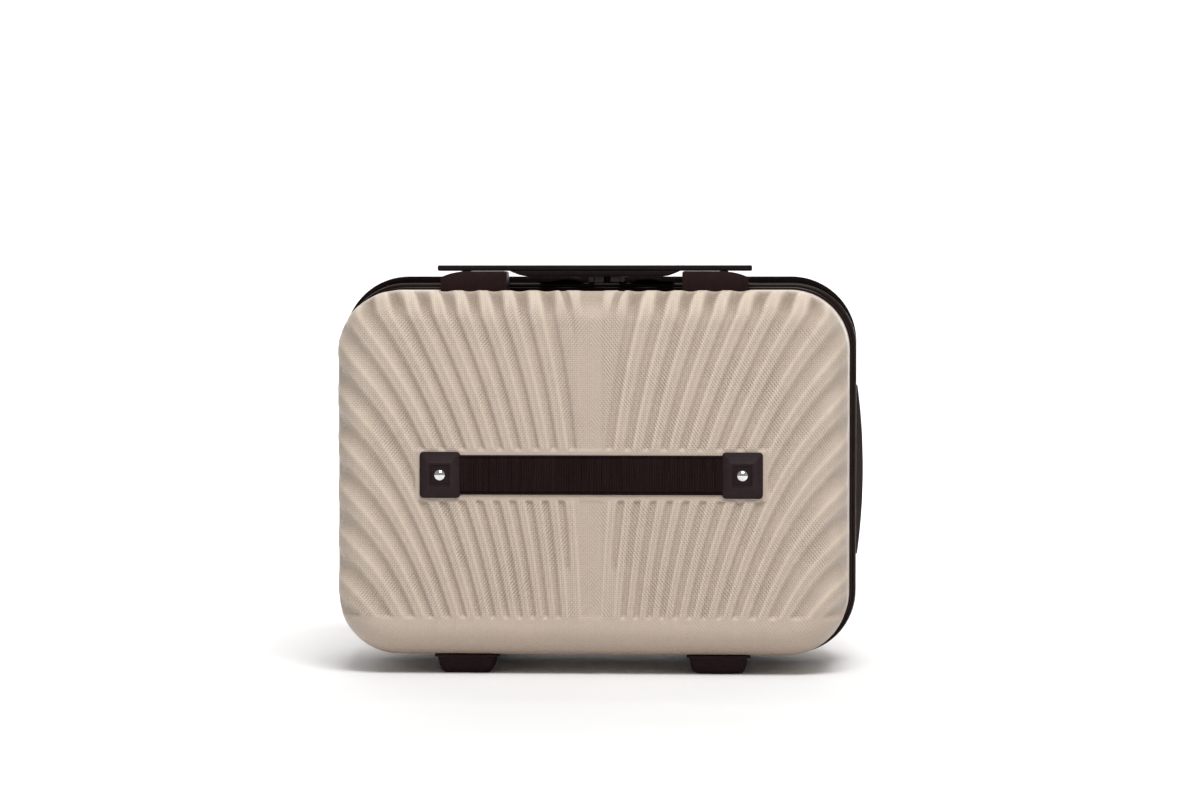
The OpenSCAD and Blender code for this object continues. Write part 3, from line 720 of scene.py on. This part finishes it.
def binding(name, body, sign, dx):
    c_in, _ = contour(-WALL, -WALL - 1.2, -WALL, CORNER - WALL, dx)
    c_sh, _ = contour(0, 0, 0, CORNER, dx)
    c_out, _ = contour(2.4, 4.3, 2.5, CORNER + 3, SHIFT)
    rings, ys = [], []
    for t, y in BEAD:
        rings.append(c_sh + (c_out - c_sh) * t if t >= 0 else c_sh + (c_in - c_sh) * -t)
        ys.append(sign * y)
    return ring_piece(name, rings, ys, body, "binding", "binding", angle=50)


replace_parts(binding("back_binding", "case_back", -1, 0.0), "back_piping")
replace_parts(binding("lid_binding", "lid", 1, SHIFT), "front_piping")


def tape(name, body, sign):
    out, nrm = contour(0.9, 6.8, 2.4, CORNER + 3, SHIFT, nx=128, nz=80, na=26)
    keep = [i for i in range(len(out)) if not (abs(out[i, 0] - SHIFT) < 120 and out[i, 1] < 60)]
    n = len(out)
    start = next(i for i in range(n) if i in set(keep) and (i - 1) % n not in set(keep))
    keep = [(start + i) % n for i in range(len(keep))]
    prof = [(0.05, 4.2), (0.0, 4.0), (0.0, 3.75), (0.14, 3.6), (0.14, 3.35), (0.02, 3.2),
            (0.0, 2.4), (0.0, 1.2), (0.12, 0.6), (0.45, 0.4), (0.9, 0.5), (0.95, 1.6),
            (0.95, 3.0), (0.95, 3.8), (0.95, 4.2)]
    # the tape reaches down behind the binding where it stands highest
    deep = 1 + 2.55 * np.clip(nrm[:, 1:], 0, 1)
    return ring_piece(name, [out - nrm * (d * deep if d > 0.8 else d) for d, _ in prof],
                      [sign * y for _, y in prof], body, "tape", "zip_tape", keep)


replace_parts(tape("zip_ribbon_back", "case_back", -1), "zip_tape_back")
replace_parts(tape("zip_ribbon_lid", "lid", 1), "zip_tape_front")


def coil(name, body, sign, phase):
    """Teeth: one rounded bar for every turn of the coil, and the sewn edge."""
    c, nrm = contour(2.9, 8.8, 2, CORNER + 4, SHIFT, nx=400, nz=300, na=80)
    c2, n2 = np.roll(c, -250, axis=0), np.roll(nrm, -250, axis=0)
    seg = np.linalg.norm(np.diff(c2, axis=0, append=c2[:1]), axis=1)
    s = np.concatenate([[0], np.cumsum(seg)])[:-1]
    pitch = 1.93
    b = Build()
    oct_ = [(math.cos(a) * 0.50, 0.78 * math.sin(a)) for a in
            np.radians([22.5, 67.5, 112.5, 157.5, 202.5, 247.5, 292.5, 337.5])]
    at = np.arange(phase * pitch, s[-1], pitch)
    cx = np.interp(at, s, c2[:, 0])
    cz = np.interp(at, s, c2[:, 1])
    ux = np.interp(at, s, n2[:, 0])
    uz = np.interp(at, s, n2[:, 1])
    for x, z, a, e in zip(cx, cz, ux, uz):
        if z < 45.5:
            continue
        t = np.array([-e, a])
        r = np.array([a, e])
        o = np.array([x, z]) - r * 0.98
        loops = []
        for y, k in ((-0.55, 0.55), (-0.25, 0.9), (1.4, 1.0), (2.6, 0.95), (2.9, 0.6)):
            ring = []
            for p, q in oct_:
                g = o + t * p * k + r * (q * k - (0.35 if y > 2.7 else 0.0))
                ring.append((g[0], sign * y, g[1]))
            loops.append(ring)
        b.add(*loft(loops))
    # cord that runs through the turns
    near = [i for i in range(0, len(c2), 2) if c2[i, 1] > 46.0]
    first = next(k for k, i in enumerate(near) if (i - 2) % len(c2) not in set(near))
    near = near[first:] + near[:first]
    loops = []
    for i in near:
        t = [(0.34, 0.74), (0.50, 0.62), (2.46, 0.62), (2.50, 0.74), (2.50, 2.5), (2.46, 2.62),
             (0.50, 2.62), (0.34, 2.5)]
        loops.append([(c2[i, 0] - n2[i, 0] * d, sign * y, c2[i, 1] - n2[i, 1] * d)
                      for d, y in t])
    b.add(*loft(loops))
    return b.done(name, "coil", body, "zip_coil", angle=70)


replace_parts(coil("zip_coil_back", "case_back", -1, 0.0), "zip_teeth_back")
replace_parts(coil("zip_coil_lid", "lid", 1, 0.5), "zip_teeth_front")


# cloth hinge under the case, one strip across both halves
def hinge():
    nxs, ys = 121, np.linspace(-6.4, 6.4, 33)
    verts = []
    for side in (0, 1):
        for x in np.linspace(-119.5, 119.5, nxs):
            for y in ys:
                fold = 0.5 * math.exp(-(y / 1.3) ** 2)
                rib = 0.05 * math.sin(y * 5.2)
                z = RIM_BOTTOM - 2.15 + fold + rib if side == 0 else RIM_BOTTOM - 1.45 + fold
                verts.append((x + SHIFT, y, z))
    n = nxs * len(ys)
    faces = grid_faces(nxs, len(ys)) + [[a + n for a in f[::-1]] for f in
                                        grid_faces(nxs, len(ys))]
    m = len(ys)
    rim = ([i * m for i in range(nxs)] + [(nxs - 1) * m + j for j in range(1, m)]
           + [i * m + m - 1 for i in range(nxs - 2, -1, -1)] + [j for j in range(m - 2, 0, -1)])
    for i in range(len(rim)):
        a, c = rim[i], rim[(i + 1) % len(rim)]
        faces.append([a, c, c + n, a + n])
    o = make("cloth_hinge", verts, faces, "tape", None, "zip_tape")
    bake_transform(o)
    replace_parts(o, "hinge_tape_back", "hinge_tape_front")


hinge()


# ---------------------------------------------------------------- handle
def strip_half(sx):
    top, bot, hy = 254.6, 251.1, 10.5
    loops = []
    xs = list(np.arange(0, 95.2, 1.6)) + [96.2, 97.2, 98.0, 98.6, 99.0]
    for x in xs:
        r = 3.2
        cut = 0.0 if x < 99.2 - r else r - math.sqrt(max(r * r - (x - 99.2 + r) ** 2, 0))
        thin = 0.35 * sstep(98.4, 99.2, x)
        loop = rrect(hy - cut, (top - bot) / 2 - thin, 1.0, 5)
        loops.append(np.column_stack([np.full(len(loop), sx * x), -27 + loop[:, 0],
                                      (top + bot) / 2 + loop[:, 1]]))
    last = loops[-1].copy()
    last[:, 0] = sx * 99.2
    last[:, 1] = -27 + (last[:, 1] + 27) * 0.94
    last[:, 2] = 252.85 + (last[:, 2] - 252.85) * 0.7
    loops.append(last)
    o = make("handle_strip_" + ("right" if sx > 0 else "left"), *loft(loops), "grip", None,
             "grip", angle=50)
    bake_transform(o)
    return o


def handle():
    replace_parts(strip_half(1), "handle_end_right")
    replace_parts(strip_half(-1), "handle_end_left")
    rows = [(247.6, 42.6, 10.6, 2.0), (247.66, 43.3, 11.2, 2.4), (247.9, 44.8, 11.75, 2.6),
            (248.35, 47.0, 12.0, 2.6), (249.3, 49.6, 12.0, 2.4), (250.2, 51.8, 12.0, 2.2),
            (250.8, 53.1, 11.9, 2.0), (251.0, 53.4, 11.6, 2.0), (251.06, 53.2, 11.0, 2.0)]
    loops = []
    for z, hx, hy, r in rows:
        l2 = rrect(hx, hy, r, 8)
        loops.append(np.column_stack([l2[:, 0], l2[:, 1] - 27, np.full(len(l2), z)]))
    pad = make("handle_pad", *loft(loops), "grip", "grip", "grip", angle=55)
    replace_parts(pad, "handle_grip")


handle()


# ---------------------------------------------------------------- elastic band
def webbing():
    xs = np.linspace(-102.7, 102.7, 661)
    zs = np.array([-12.2, -12.05, -11.6, -11.0, -10.4, -10.0, -8, -6, -4, -2, 0, 2, 4, 6, 8,
                   10.0, 10.4, 11.0, 11.6, 12.05, 12.2])
    X, Z = np.meshgrid(xs, zs, indexing="ij")
    rib = 0.5 + 0.5 * np.cos(X * 2 * math.pi / 1.55)
    body = sstep(10.5, 9.9, np.abs(Z))
    edge = np.exp(-((np.abs(Z) - 11.2) / 0.5) ** 2)
    round_ = 0.5 * sstep(11.7, 12.2, np.abs(Z))
    front = -84.4 + 0.16 * (1 - rib) * body + 0.14 * (1 - body) - 0.10 * edge + round_
    wave = 0.05 * np.sin(X * 0.11) * np.cos(Z * 0.2)
    v1 = np.stack([X, front + wave, Z + WEB_Z], -1).reshape(-1, 3)
    v2 = np.stack([X, np.full_like(X, -83.04) - 0.25 * round_, Z + WEB_Z], -1).reshape(-1, 3)
    m, nn = len(zs), len(xs)
    n = m * nn
    faces = grid_faces(nn, m) + [[a + n for a in f[::-1]] for f in grid_faces(nn, m)]
    rim = ([i * m for i in range(nn)] + [(nn - 1) * m + j for j in range(1, m)]
           + [i * m + m - 1 for i in range(nn - 2, -1, -1)] + [j for j in range(m - 2, 0, -1)])
    for i in range(len(rim)):
        a, c = rim[i], rim[(i + 1) % len(rim)]
        faces.append([a, c, c + n, a + n])
    o = make("elastic_band", np.concatenate([v1, v2]), faces, "web", "case_back", "elastic",
             angle=60)
    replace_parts(o, "strap_webbing")


webbing()


def end_cap(sx):
    rows = [(83.0, 12.5, 14.25, 2.4), (84.5, 12.5, 14.25, 2.4), (84.75, 12.42, 14.17, 2.3),
            (84.9, 12.2, 13.95, 2.1), (85.0, 11.9, 13.65, 1.6), (86.25, 7.75, 8.15, 0.5),
            (86.35, 7.55, 7.95, 0.5), (86.38, 7.3, 7.7, 0.5), (86.58, 7.1, 7.5, 0.5),
            (86.6, 6.9, 7.3, 0.5), (86.6, 5.9, 6.3, 0.6), (86.5, 5.8, 6.2, 0.6),
            (86.3, 5.65, 6.05, 0.6), (86.28, 4.6, 4.9, 1.0)]
    loops = []
    for y, hx, hz, r in rows:
        l2 = rrect(hx, hz, r, 6)
        loops.append(np.column_stack([sx * RIVET_X + l2[:, 0], np.full(len(l2), -y),
                                      WEB_Z + l2[:, 1]]))
    o = make("band_cap_" + ("right" if sx > 0 else "left"), *loft(loops), "cap",
             "case_back", "trim", angle=14)
    # painted light per row of the cap: painted shade on the outer walls and the recess edge,
    # painted highlight on the bevel near the inner edge
    facet_light = (-1.0, -1.0, -0.9, -0.5, 0.15, 0.42, 1.0, 0.35, 0.5, 0.20, 0.15, -0.6, -0.5, -0.1)
    per = len(loops[0])
    values = np.zeros(len(o.data.vertices), np.float32)
    for i, v in enumerate(facet_light):
        values[i * per:(i + 1) * per] = v
    at = o.data.attributes.new("crest", "FLOAT", "POINT")
    at.data.foreach_set("value", values)
    return o


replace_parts(end_cap(-1), "strap_cap_left")
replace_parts(end_cap(1), "strap_cap_right")


def rivets():
    b = Build()
    prof = [(0.0, 88.0)] + [(4.5 * math.sin(a), 88.0 - 4.5 + 4.5 * math.cos(a))
                            for a in np.radians(np.linspace(4, 44, 12))]
    prof += [(3.3, 86.62), (3.36, 86.45), (3.3, 86.25), (1.5, 86.2), (1.5, 79.2)]
    for sx in (-1, 1):
        loops = []
        for r, y in prof:
            r = max(r, 0.02)
            a = np.linspace(0, 2 * math.pi, 48, endpoint=False)
            loops.append(np.column_stack([sx * RIVET_X + r * np.cos(a), np.full(48, -y),
                                          WEB_Z + r * np.sin(a)]))
        b.add(*loft(loops))
    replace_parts(b.done("band_rivets", "chrome", "case_back", "chrome", angle=50),
                "strap_rivets")


rivets()


# ---------------------------------------------------------------- feet
def foot(name, body, sx, sign, depth, dx):
    slope = DRAFT / depth
    z1 = RIM_BOTTOM + slope * (53 - RIM_GAP)
    # height, half width, half depth, corner radius, share of the tilt
    rows = [(0.0, 12.2, 8.6, 2.0, 0.0), (0.08, 13.0, 9.3, 2.2, 0.0), (0.4, 14.1, 10.0, 2.6, 0.0),
            (1.0, 15.1, 10.7, 3.0, 0.0), (1.8, 15.8, 11.2, 3.2, 0.0), (2.6, 16.35, 11.6, 3.4, 0.05),
            (5.0, 17.2, 12.3, 3.6, 0.3), (z1 - 2.5, 18.1, 13.1, 3.8, 0.9),
            (z1 - 2.05, 18.4, 13.5, 4.0, 1.0), (z1 - 1.95, 19.2, 15.2, 4.0, 1.0),
            (z1 - 1.75, 19.8, 15.8, 4.0, 1.0), (z1 - 1.4, 20.0, 16.0, 4.0, 1.0),
            (z1 - 0.4, 20.0, 16.0, 4.0, 1.0), (z1 - 0.06, 19.7, 15.7, 4.0, 1.0)]
    circle = []
    for k in range(4):
        for i in range(8):
            a = math.radians(90 * k + 90 * i / 7)
            circle.append((math.cos(a), math.sin(a)))
    circle = np.array(circle)
    loops = []
    for r, z in ((2.06, 5.0), (2.06, 2.5), (4.2, 2.5), (4.2, 0.25), (4.5, 0.0)):
        loops.append(plate(circle * r, z))
    for z, hx, hy, r, tilt in rows:
        l2 = rrect(hx, hy, r, 8)
        q = plate(l2, z)
        q[:, 2] += tilt * slope * l2[:, 1]
        loops.append(q)
    v, f = loft(loops)
    v[:, 0] += sx * 78.6 + dx
    v[:, 1] = sign * (v[:, 1] + 53)
    return make(name, v, f, "trim", body, "trim", angle=42)


for label, sx in (("left", -1), ("right", 1)):
    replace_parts(foot("foot_rear_" + label, "case_back", sx, -1, BACK_DEPTH, 0.0),
                "foot_back_" + label)
    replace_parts(foot("foot_lid_" + label, "lid", sx, 1, LID_DEPTH, SHIFT),
                "foot_front_" + label)


# ---------------------------------------------------------------- brackets
def bracket(sx):
    """Block with a sloping top, a stepped end and two vertical marks; the
    channel for the tongue is open at the top and the outer end."""
    name = "right" if sx > 0 else "left"

    def slab(y0, y1, x0=55.3, r=0.9):
        prof = [(x0, SEAT_Z + 0.02)]
        prof += [(96.3, SEAT_Z + 0.02), (96.8, 238.5), (96.9, 239.2), (96.9, 245.9),
                 (96.75, 246.6), (96.4, 247.15), (95.6, 247.65), (94.5, 248.1), (91.1, 249.3),
                 (87.0, 250.2), (84.0, 250.58), (80.8, 250.88), (57.0, 250.9),
                 (55.9, 250.6), (55.4, 250.0), (55.3, 249.2)]
        return prof

    full = slab(0, 0)
    b = Build()

    def solid(prof, y0, y1, edge):
        n = len(prof)
        c = np.mean(prof, axis=0)
        loops = []
        for y, k in ((y0, edge), (y0 + 0.25 * edge, 0.3 * edge), (y0 + edge, 0.0),
                     (y1 - edge, 0.0), (y1 - 0.25 * edge, 0.3 * edge), (y1, edge)):
            ring = []
            for x, z in prof:
                d = np.array([x, z]) - c
                m = np.maximum(np.abs(d) - k, 0.1) * np.sign(d)
                ring.append((sx * (c[0] + m[0]), y, max(c[1] + m[1], SEAT_Z + 0.02)))
            loops.append(ring)
        b.add(*loft(loops))

    outer = [(x, z) for x, z in full]
    solid(outer, -40.0, -33.05, 0.28)
    solid(outer, -20.95, -14.0, 0.28)
    inner = [(55.3, SEAT_Z + 0.02), (81.5, SEAT_Z + 0.02), (81.5, 246.2), (76.4, 246.25),
             (76.3, 250.85), (57.0, 250.85), (55.9, 250.55), (55.4, 250.0), (55.3, 249.2)]
    solid(inner, -33.3, -20.7, 0.05)
    floor_ = [(81.4, SEAT_Z + 0.02), (96.5, SEAT_Z + 0.02), (96.6, 239.9), (81.4, 239.95)]
    solid(floor_, -33.3, -20.7, 0.05)
    # raised end frames and two small ribs on the side that shows
    m1, m2 = (83.4, 86.2) if sx > 0 else (74.0, 76.7)
    for x, z0, z1, wd in ((57.2, 238.6, 249.9, 0.55), (94.4, 238.6, 247.2, 0.55),
                          (m1, 239.8, 245.2, 0.4), (m2, 239.8, 245.2, 0.4)):
        for y in (-40.0, -14.0):
            s = -1 if y < -20 else 1
            loops = [np.column_stack([sx * (x + l[:, 0]), np.full(len(l), y + s * d),
                                      (z0 + z1) / 2 + l[:, 1]])
                     for d, l in ((-0.3, rrect(wd, (z1 - z0) / 2, 0.3, 3)),
                                  (0.12, rrect(wd, (z1 - z0) / 2, 0.3, 3)),
                                  (0.28, rrect(wd * 0.5, (z1 - z0) / 2 - 0.3, 0.2, 3)))]
            b.add(*loft(loops))
    o = b.done("handle_mount_" + name, "trim", "case_back", "trim", angle=32)
    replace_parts(o, "handle_bracket_" + name)


bracket(1)
bracket(-1)


# ---------------------------------------------------------------- inside
def lining(name, body, sign, depth, dx, node):
    y1 = RIM_GAP + depth - WALL - 1.5
    s = pan(WALL + 1.5, 8.0, FACE_R - WALL - 1.5, y1, depth, RIM_GAP + 0.6,
            96, 60, 8, 10, 26)
    x, w = s["unr"][:, 0], s["unr"][:, 1]
    side = sstep(5, 40, s["ell"])
    h = -0.18 * np.sin(x * 0.13 + 0.9 * np.sin(w * 0.05)) * np.cos(w * 0.09 + x * 0.02)
    along = np.where(np.abs(s["dir"][:, 0]) > 0.5, w, x)
    h = h - side * 0.28 * (0.5 + 0.5 * np.sin(along * 0.42 + 1.7 * np.sin(along * 0.051)))
    # seam where the wall cloth meets the face cloth
    h = h - 0.45 * np.exp(-((s["ell"] - 3.0) / 0.9) ** 2)
    q = s["pos"] + s["nor"] * h[:, None]
    for fx in (-78.6, 78.6):
        near = np.exp(-((q[:, 0] - fx) ** 2 + (q[:, 1] - 53) ** 2) / 110.0)
        q[:, 2] += np.where(s["dir"][:, 1] < -0.9, 1.7 * near, 0)
    if sign < 0:
        for fx in (-RIVET_X, RIVET_X):
            near = np.exp(-((q[:, 0] - fx) ** 2 + (q[:, 2] - WEB_Z) ** 2) / 90.0)
            q[:, 1] -= 0.75 * near * (s["ell"] < 1)
    if sign > 0:
        # cloth goes over the back of the lock
        over = sstep(21, 13, np.abs(q[:, 1] - 26)) * sstep(60, 50, np.abs(q[:, 2] - LOCK_Z))
        q[:, 0] -= np.where(s["dir"][:, 0] > 0.9, 8.6 * over, 0)
    q[:, 0] += dx
    q[:, 1] *= sign
    o = make(name, q, s["faces"], "lining", body, "lining", angle=80)
    n0 = s["pos"].mean(axis=0)
    flip = 0
    me = o.data
    for poly in list(me.polygons)[:50]:
        if poly.normal.y * sign > 0:
            flip += 1
    if flip > 25:
        me.flip_normals()
    mod = o.modifiers.new("thick", "SOLIDIFY")
    mod.thickness = 0.0005
    mod.offset = -1
    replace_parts(o, node)
    return o


lining("lining_rear", "case_back", -1, BACK_DEPTH, 0.0, "back_lining")
lining("lining_lid", "lid", 1, LID_DEPTH, SHIFT, "front_lining")


def closed_sheet(front, back_):
    """Two grids of the same shape joined at their edges."""
    nu, nv = front.shape[:2]
    n = nu * nv
    faces = grid_faces(nu, nv) + [[a + n for a in f[::-1]] for f in grid_faces(nu, nv)]
    rim = ([i * nv for i in range(nu)] + [(nu - 1) * nv + j for j in range(1, nv)]
           + [i * nv + nv - 1 for i in range(nu - 2, -1, -1)] + [j for j in range(nv - 2, 0, -1)])
    for i in range(len(rim)):
        a, c = rim[i], rim[(i + 1) % len(rim)]
        faces.append([a, c, c + n, a + n])
    return np.concatenate([front.reshape(-1, 3), back_.reshape(-1, 3)]), faces


def loops_band():
    xs = np.linspace(-117.8, 117.8, 420)
    zs = np.linspace(96.2, 125.8, 24)
    X, Z = np.meshgrid(xs, zs, indexing="ij")
    place = (X + 114.0) / 38.0
    f = place - np.floor(place)
    bulge = np.sin(np.pi * np.clip((f - 0.06) / 0.88, 0, 1)) ** 0.8
    bulge = np.where((X < -114) | (X > 114), 0, bulge)
    rib = 0.07 * np.cos(Z * 2 * math.pi / 1.6)
    sag = 0.12 * np.cos((Z - 111) * 0.2)
    y = -78.9 + 1.75 * bulge * (1 + sag * 0.4) + rib
    front = np.stack([X, y, Z], -1)
    rear = np.stack([X, y - 0.55, Z], -1)
    o = make("loop_band", *closed_sheet(front, rear), "web", "case_back", "elastic", angle=60)
    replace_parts(o, "bottle_loops")
    b = Build()
    for i in range(7):
        x = -114 + 38 * i
        for k in range(12):
            z = 98 + 2.4 * k
            loops = []
            for t in np.linspace(-0.8, 0.8, 5):
                r = 0.22
                a = np.linspace(0, 2 * math.pi, 6, endpoint=False)
                yy = -78.45 + 0.1 - 0.3 * (t / 0.8) ** 2
                loops.append(np.column_stack([x + r * np.cos(a), yy + r * np.sin(a),
                                              np.full(6, z + t)]))
            b.add(*loft(loops))
    b.done("loop_stitches", "net", "case_back", "elastic")


loops_band()


def pocket():
    xs = np.linspace(-119.6, 119.6, 260)
    zs = np.linspace(60.4, 183.4, 90)
    X, Z = np.meshgrid(xs, zs, indexing="ij")
    rise = sstep(60, 180, Z)
    gather = rise * 0.34 * np.sin(X * 0.55 + 1.3 * np.sin(X * 0.071))
    belly = 0.3 * np.cos(X * 0.012) * rise
    y = 83.0 + gather - belly
    hem = sstep(176.5, 177.3, Z)
    y = y - 0.25 * hem
    rib = 0.06 * np.sin(Z * 6.0) * hem
    edge = np.maximum(sstep(115.5, 116.2, np.abs(X)), sstep(64.6, 64.0, Z))
    y = y * (1 - 0) + 0.0
    front = np.stack([X + SHIFT, y - 0.22 - 0.15 * edge - rib, Z], -1)
    rear = np.stack([X + SHIFT, y + 0.22, Z], -1)
    o = make("net_pocket", *closed_sheet(front, rear), ["net", "web"], "lid", "net", angle=70)
    me = o.data
    for poly in me.polygons:
        c = poly.center
        if abs(c.x + OFF * 0.001 - 0.0018) > 0.1160 or c.z < 0.0643 or c.z > 0.1768:
            poly.material_index = 1
    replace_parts(o, "mesh_pocket")


pocket()


# ---------------------------------------------------------------- dial numbers
def lock_space(v):
    v = np.asarray(v, float)
    c, s = math.cos(LEAN), math.sin(LEAN)
    return np.column_stack([LOCK_X + v[:, 0] * c - v[:, 1] * s,
                            LOCK_Y + v[:, 0] * s + v[:, 1] * c, LOCK_Z + v[:, 2]])


def dial_numbers(dial, z, start):
    b = Build()
    for number in range(10):
        cu = bpy.data.curves.new("figure", "FONT")
        cu.body = str(number)
        cu.size = 3.5
        cu.align_x, cu.align_y = "CENTER", "CENTER"
        cu.extrude = 0.06
        cu.resolution_u = 3
        ob = bpy.data.objects.new("figure", cu)
        bpy.context.scene.collection.objects.link(ob)
        dg = bpy.context.evaluated_depsgraph_get()
        tmp = ob.evaluated_get(dg).to_mesh()
        v = np.array([tuple(q.co) for q in tmp.vertices])
        faces = [list(p.vertices) for p in tmp.polygons]
        ob.evaluated_get(dg).to_mesh_clear()
        bpy.data.objects.remove(ob)
        v[:, 0] -= (v[:, 0].max() + v[:, 0].min()) / 2
        v[:, 1] -= (v[:, 1].max() + v[:, 1].min()) / 2
        a = math.radians(36 * (number - start))
        turn = v[:, 0] / 6.95 + a
        rad = 6.93 + v[:, 2]
        q = np.column_stack([1.2 + rad * np.cos(turn), rad * np.sin(turn), z + v[:, 1]])
        b.add(lock_space(q), faces)
    b.done("figures_" + dial, "digits", dial, "lock_trim", angle=30)


dial_numbers("dial_1", 5.5, 4)
dial_numbers("dial_2", -3.5, 7)
dial_numbers("dial_3", -12.5, 1)


# ---------------------------------------------------------------- CAD nodes
def dress(node, mat, width=0.0, segments=2, angle=32):
    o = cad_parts[node]
    o.data.materials.clear()
    o.data.materials.append(MAT[mat])
    if width:
        weld = o.modifiers.new("weld", "WELD")
        weld.merge_threshold = 0.000004
        flat = o.modifiers.new("flat", "DECIMATE")
        flat.decimate_type = "DISSOLVE"
        flat.angle_limit = math.radians(0.6)
        be = o.modifiers.new("edge", "BEVEL")
        be.limit_method = "ANGLE"
        be.angle_limit = math.radians(angle)
        be.width = width * 0.001
        be.segments = segments
        be.use_clamp_overlap = True
        be.harden_normals = False
    return o


for node in ("strap_washers", "foot_screws_back", "foot_screws_front", "handle_backplates",
             "handle_screws", "lock_clamp_frame", "lock_axle", "lock_screws", "lock_latch",
             "handle_core"):
    dress(node, "steel")
dress("lock_housing", "lock", 0.45, 2)
dress("lock_cover", "lock", 0.3)
dress("lock_button", "trim", 0.2)
dress("key_cylinder", "nickel", 0.15)
for node in ("dial_1", "dial_2", "dial_3"):
    dress(node, "trim", 0.25, 2, 40)
dress("handle_tongue_left", "trim", 0.3)
dress("handle_tongue_right", "trim", 0.3)
dress("slider_left", "slider", 0.65, 5)
dress("slider_right", "slider", 0.65, 5)
dress("pull_tab_left", "cap", 0.35, 2)
dress("pull_tab_right", "cap", 0.35, 2)

# ---------------------------------------------------------------- stage
def stage():
    m = Mat("studio_paper", rough=0.9, spec=0.2)
    g = m.noise(m.co(), 6, 3.0)
    m.colour(m.mix(m.span(g, 0.3, 0.7), (0.84, 0.84, 0.84), (0.87, 0.87, 0.87)))
    prof = [(-6.0, 0.0)] + [(-6.0 + 0.5 * i, 0.0) for i in range(1, 19)]
    prof = [(y, 0.0) for y in np.linspace(-6, 2.2, 20)]
    prof += [(2.2 + 1.6 * math.sin(a), 1.6 - 1.6 * math.cos(a))
             for a in np.radians(np.linspace(6, 90, 15))]
    prof += [(3.8, z) for z in (2.2, 3.0, 4.0)]
    xs = np.linspace(-6, 6, 9)
    verts = [(x, y, z) for x in xs for y, z in prof]
    me = bpy.data.meshes.new("studio_floor")
    me.from_pydata(verts, [], grid_faces(len(xs), len(prof)))
    me.shade_smooth()
    me.materials.append(m.m)
    o = bpy.data.objects.new("studio_floor", me)
    bpy.context.scene.collection.objects.link(o)


stage()


def light(name, at, target, size, size_y, energy, colour=(1, 1, 1)):
    d = bpy.data.lights.new(name, "AREA")
    d.shape = "RECTANGLE"
    d.size, d.size_y = size, size_y
    d.energy = energy
    d.color = colour
    o = bpy.data.objects.new(name, d)
    o.location = at
    o.rotation_euler = (Vector(target) - Vector(at)).to_track_quat("-Z", "Y").to_euler()
    bpy.context.scene.collection.objects.link(o)
    return o


light("key_soft", (0.31, -1.46, 2.22), (0, 0, 0.12), 1.3, 1.0, 64)
light("rear_soft", (-0.3, 1.8, 1.5), (0, 0, 0.12), 2.2, 1.2, 9)
light("rear_low", (0.0, 2.4, 0.45), (0, 0, 0.0), 3.0, 0.7, 16)
light("backdrop_wash", (0.0, 1.2, 2.6), (0, 3.8, 1.0), 4.0, 1.5, 110)

world = bpy.data.worlds.new("studio")
bpy.context.scene.world = world
world.use_nodes = True
bg = world.node_tree.nodes["Background"]
bg.inputs[0].default_value = (1.0, 1.0, 1.0, 1.0)
bg.inputs[1].default_value = 0.29
view = bpy.context.scene.view_settings
view.view_transform = "Standard"
view.look = "None"

# ---------------------------------------------------------------- camera
cam = bpy.data.cameras.new("camera")
cam.sensor_width = 36.0
cam.lens = 94.35
cam.clip_start = 0.05
camera = bpy.data.objects.new("camera", cam)
bpy.context.scene.collection.objects.link(camera)
yaw, tilt, dist = math.radians(2.64), math.radians(1.98), 2000.0
aim = Vector(P(-1.95, 0, 170.94))
step = Vector((math.sin(yaw) * math.cos(tilt), -math.cos(yaw) * math.cos(tilt), math.sin(tilt)))
camera.location = aim + step * dist * 0.001
camera.rotation_euler = (-step).to_track_quat("-Z", "Y").to_euler()
bpy.context.scene.camera = camera
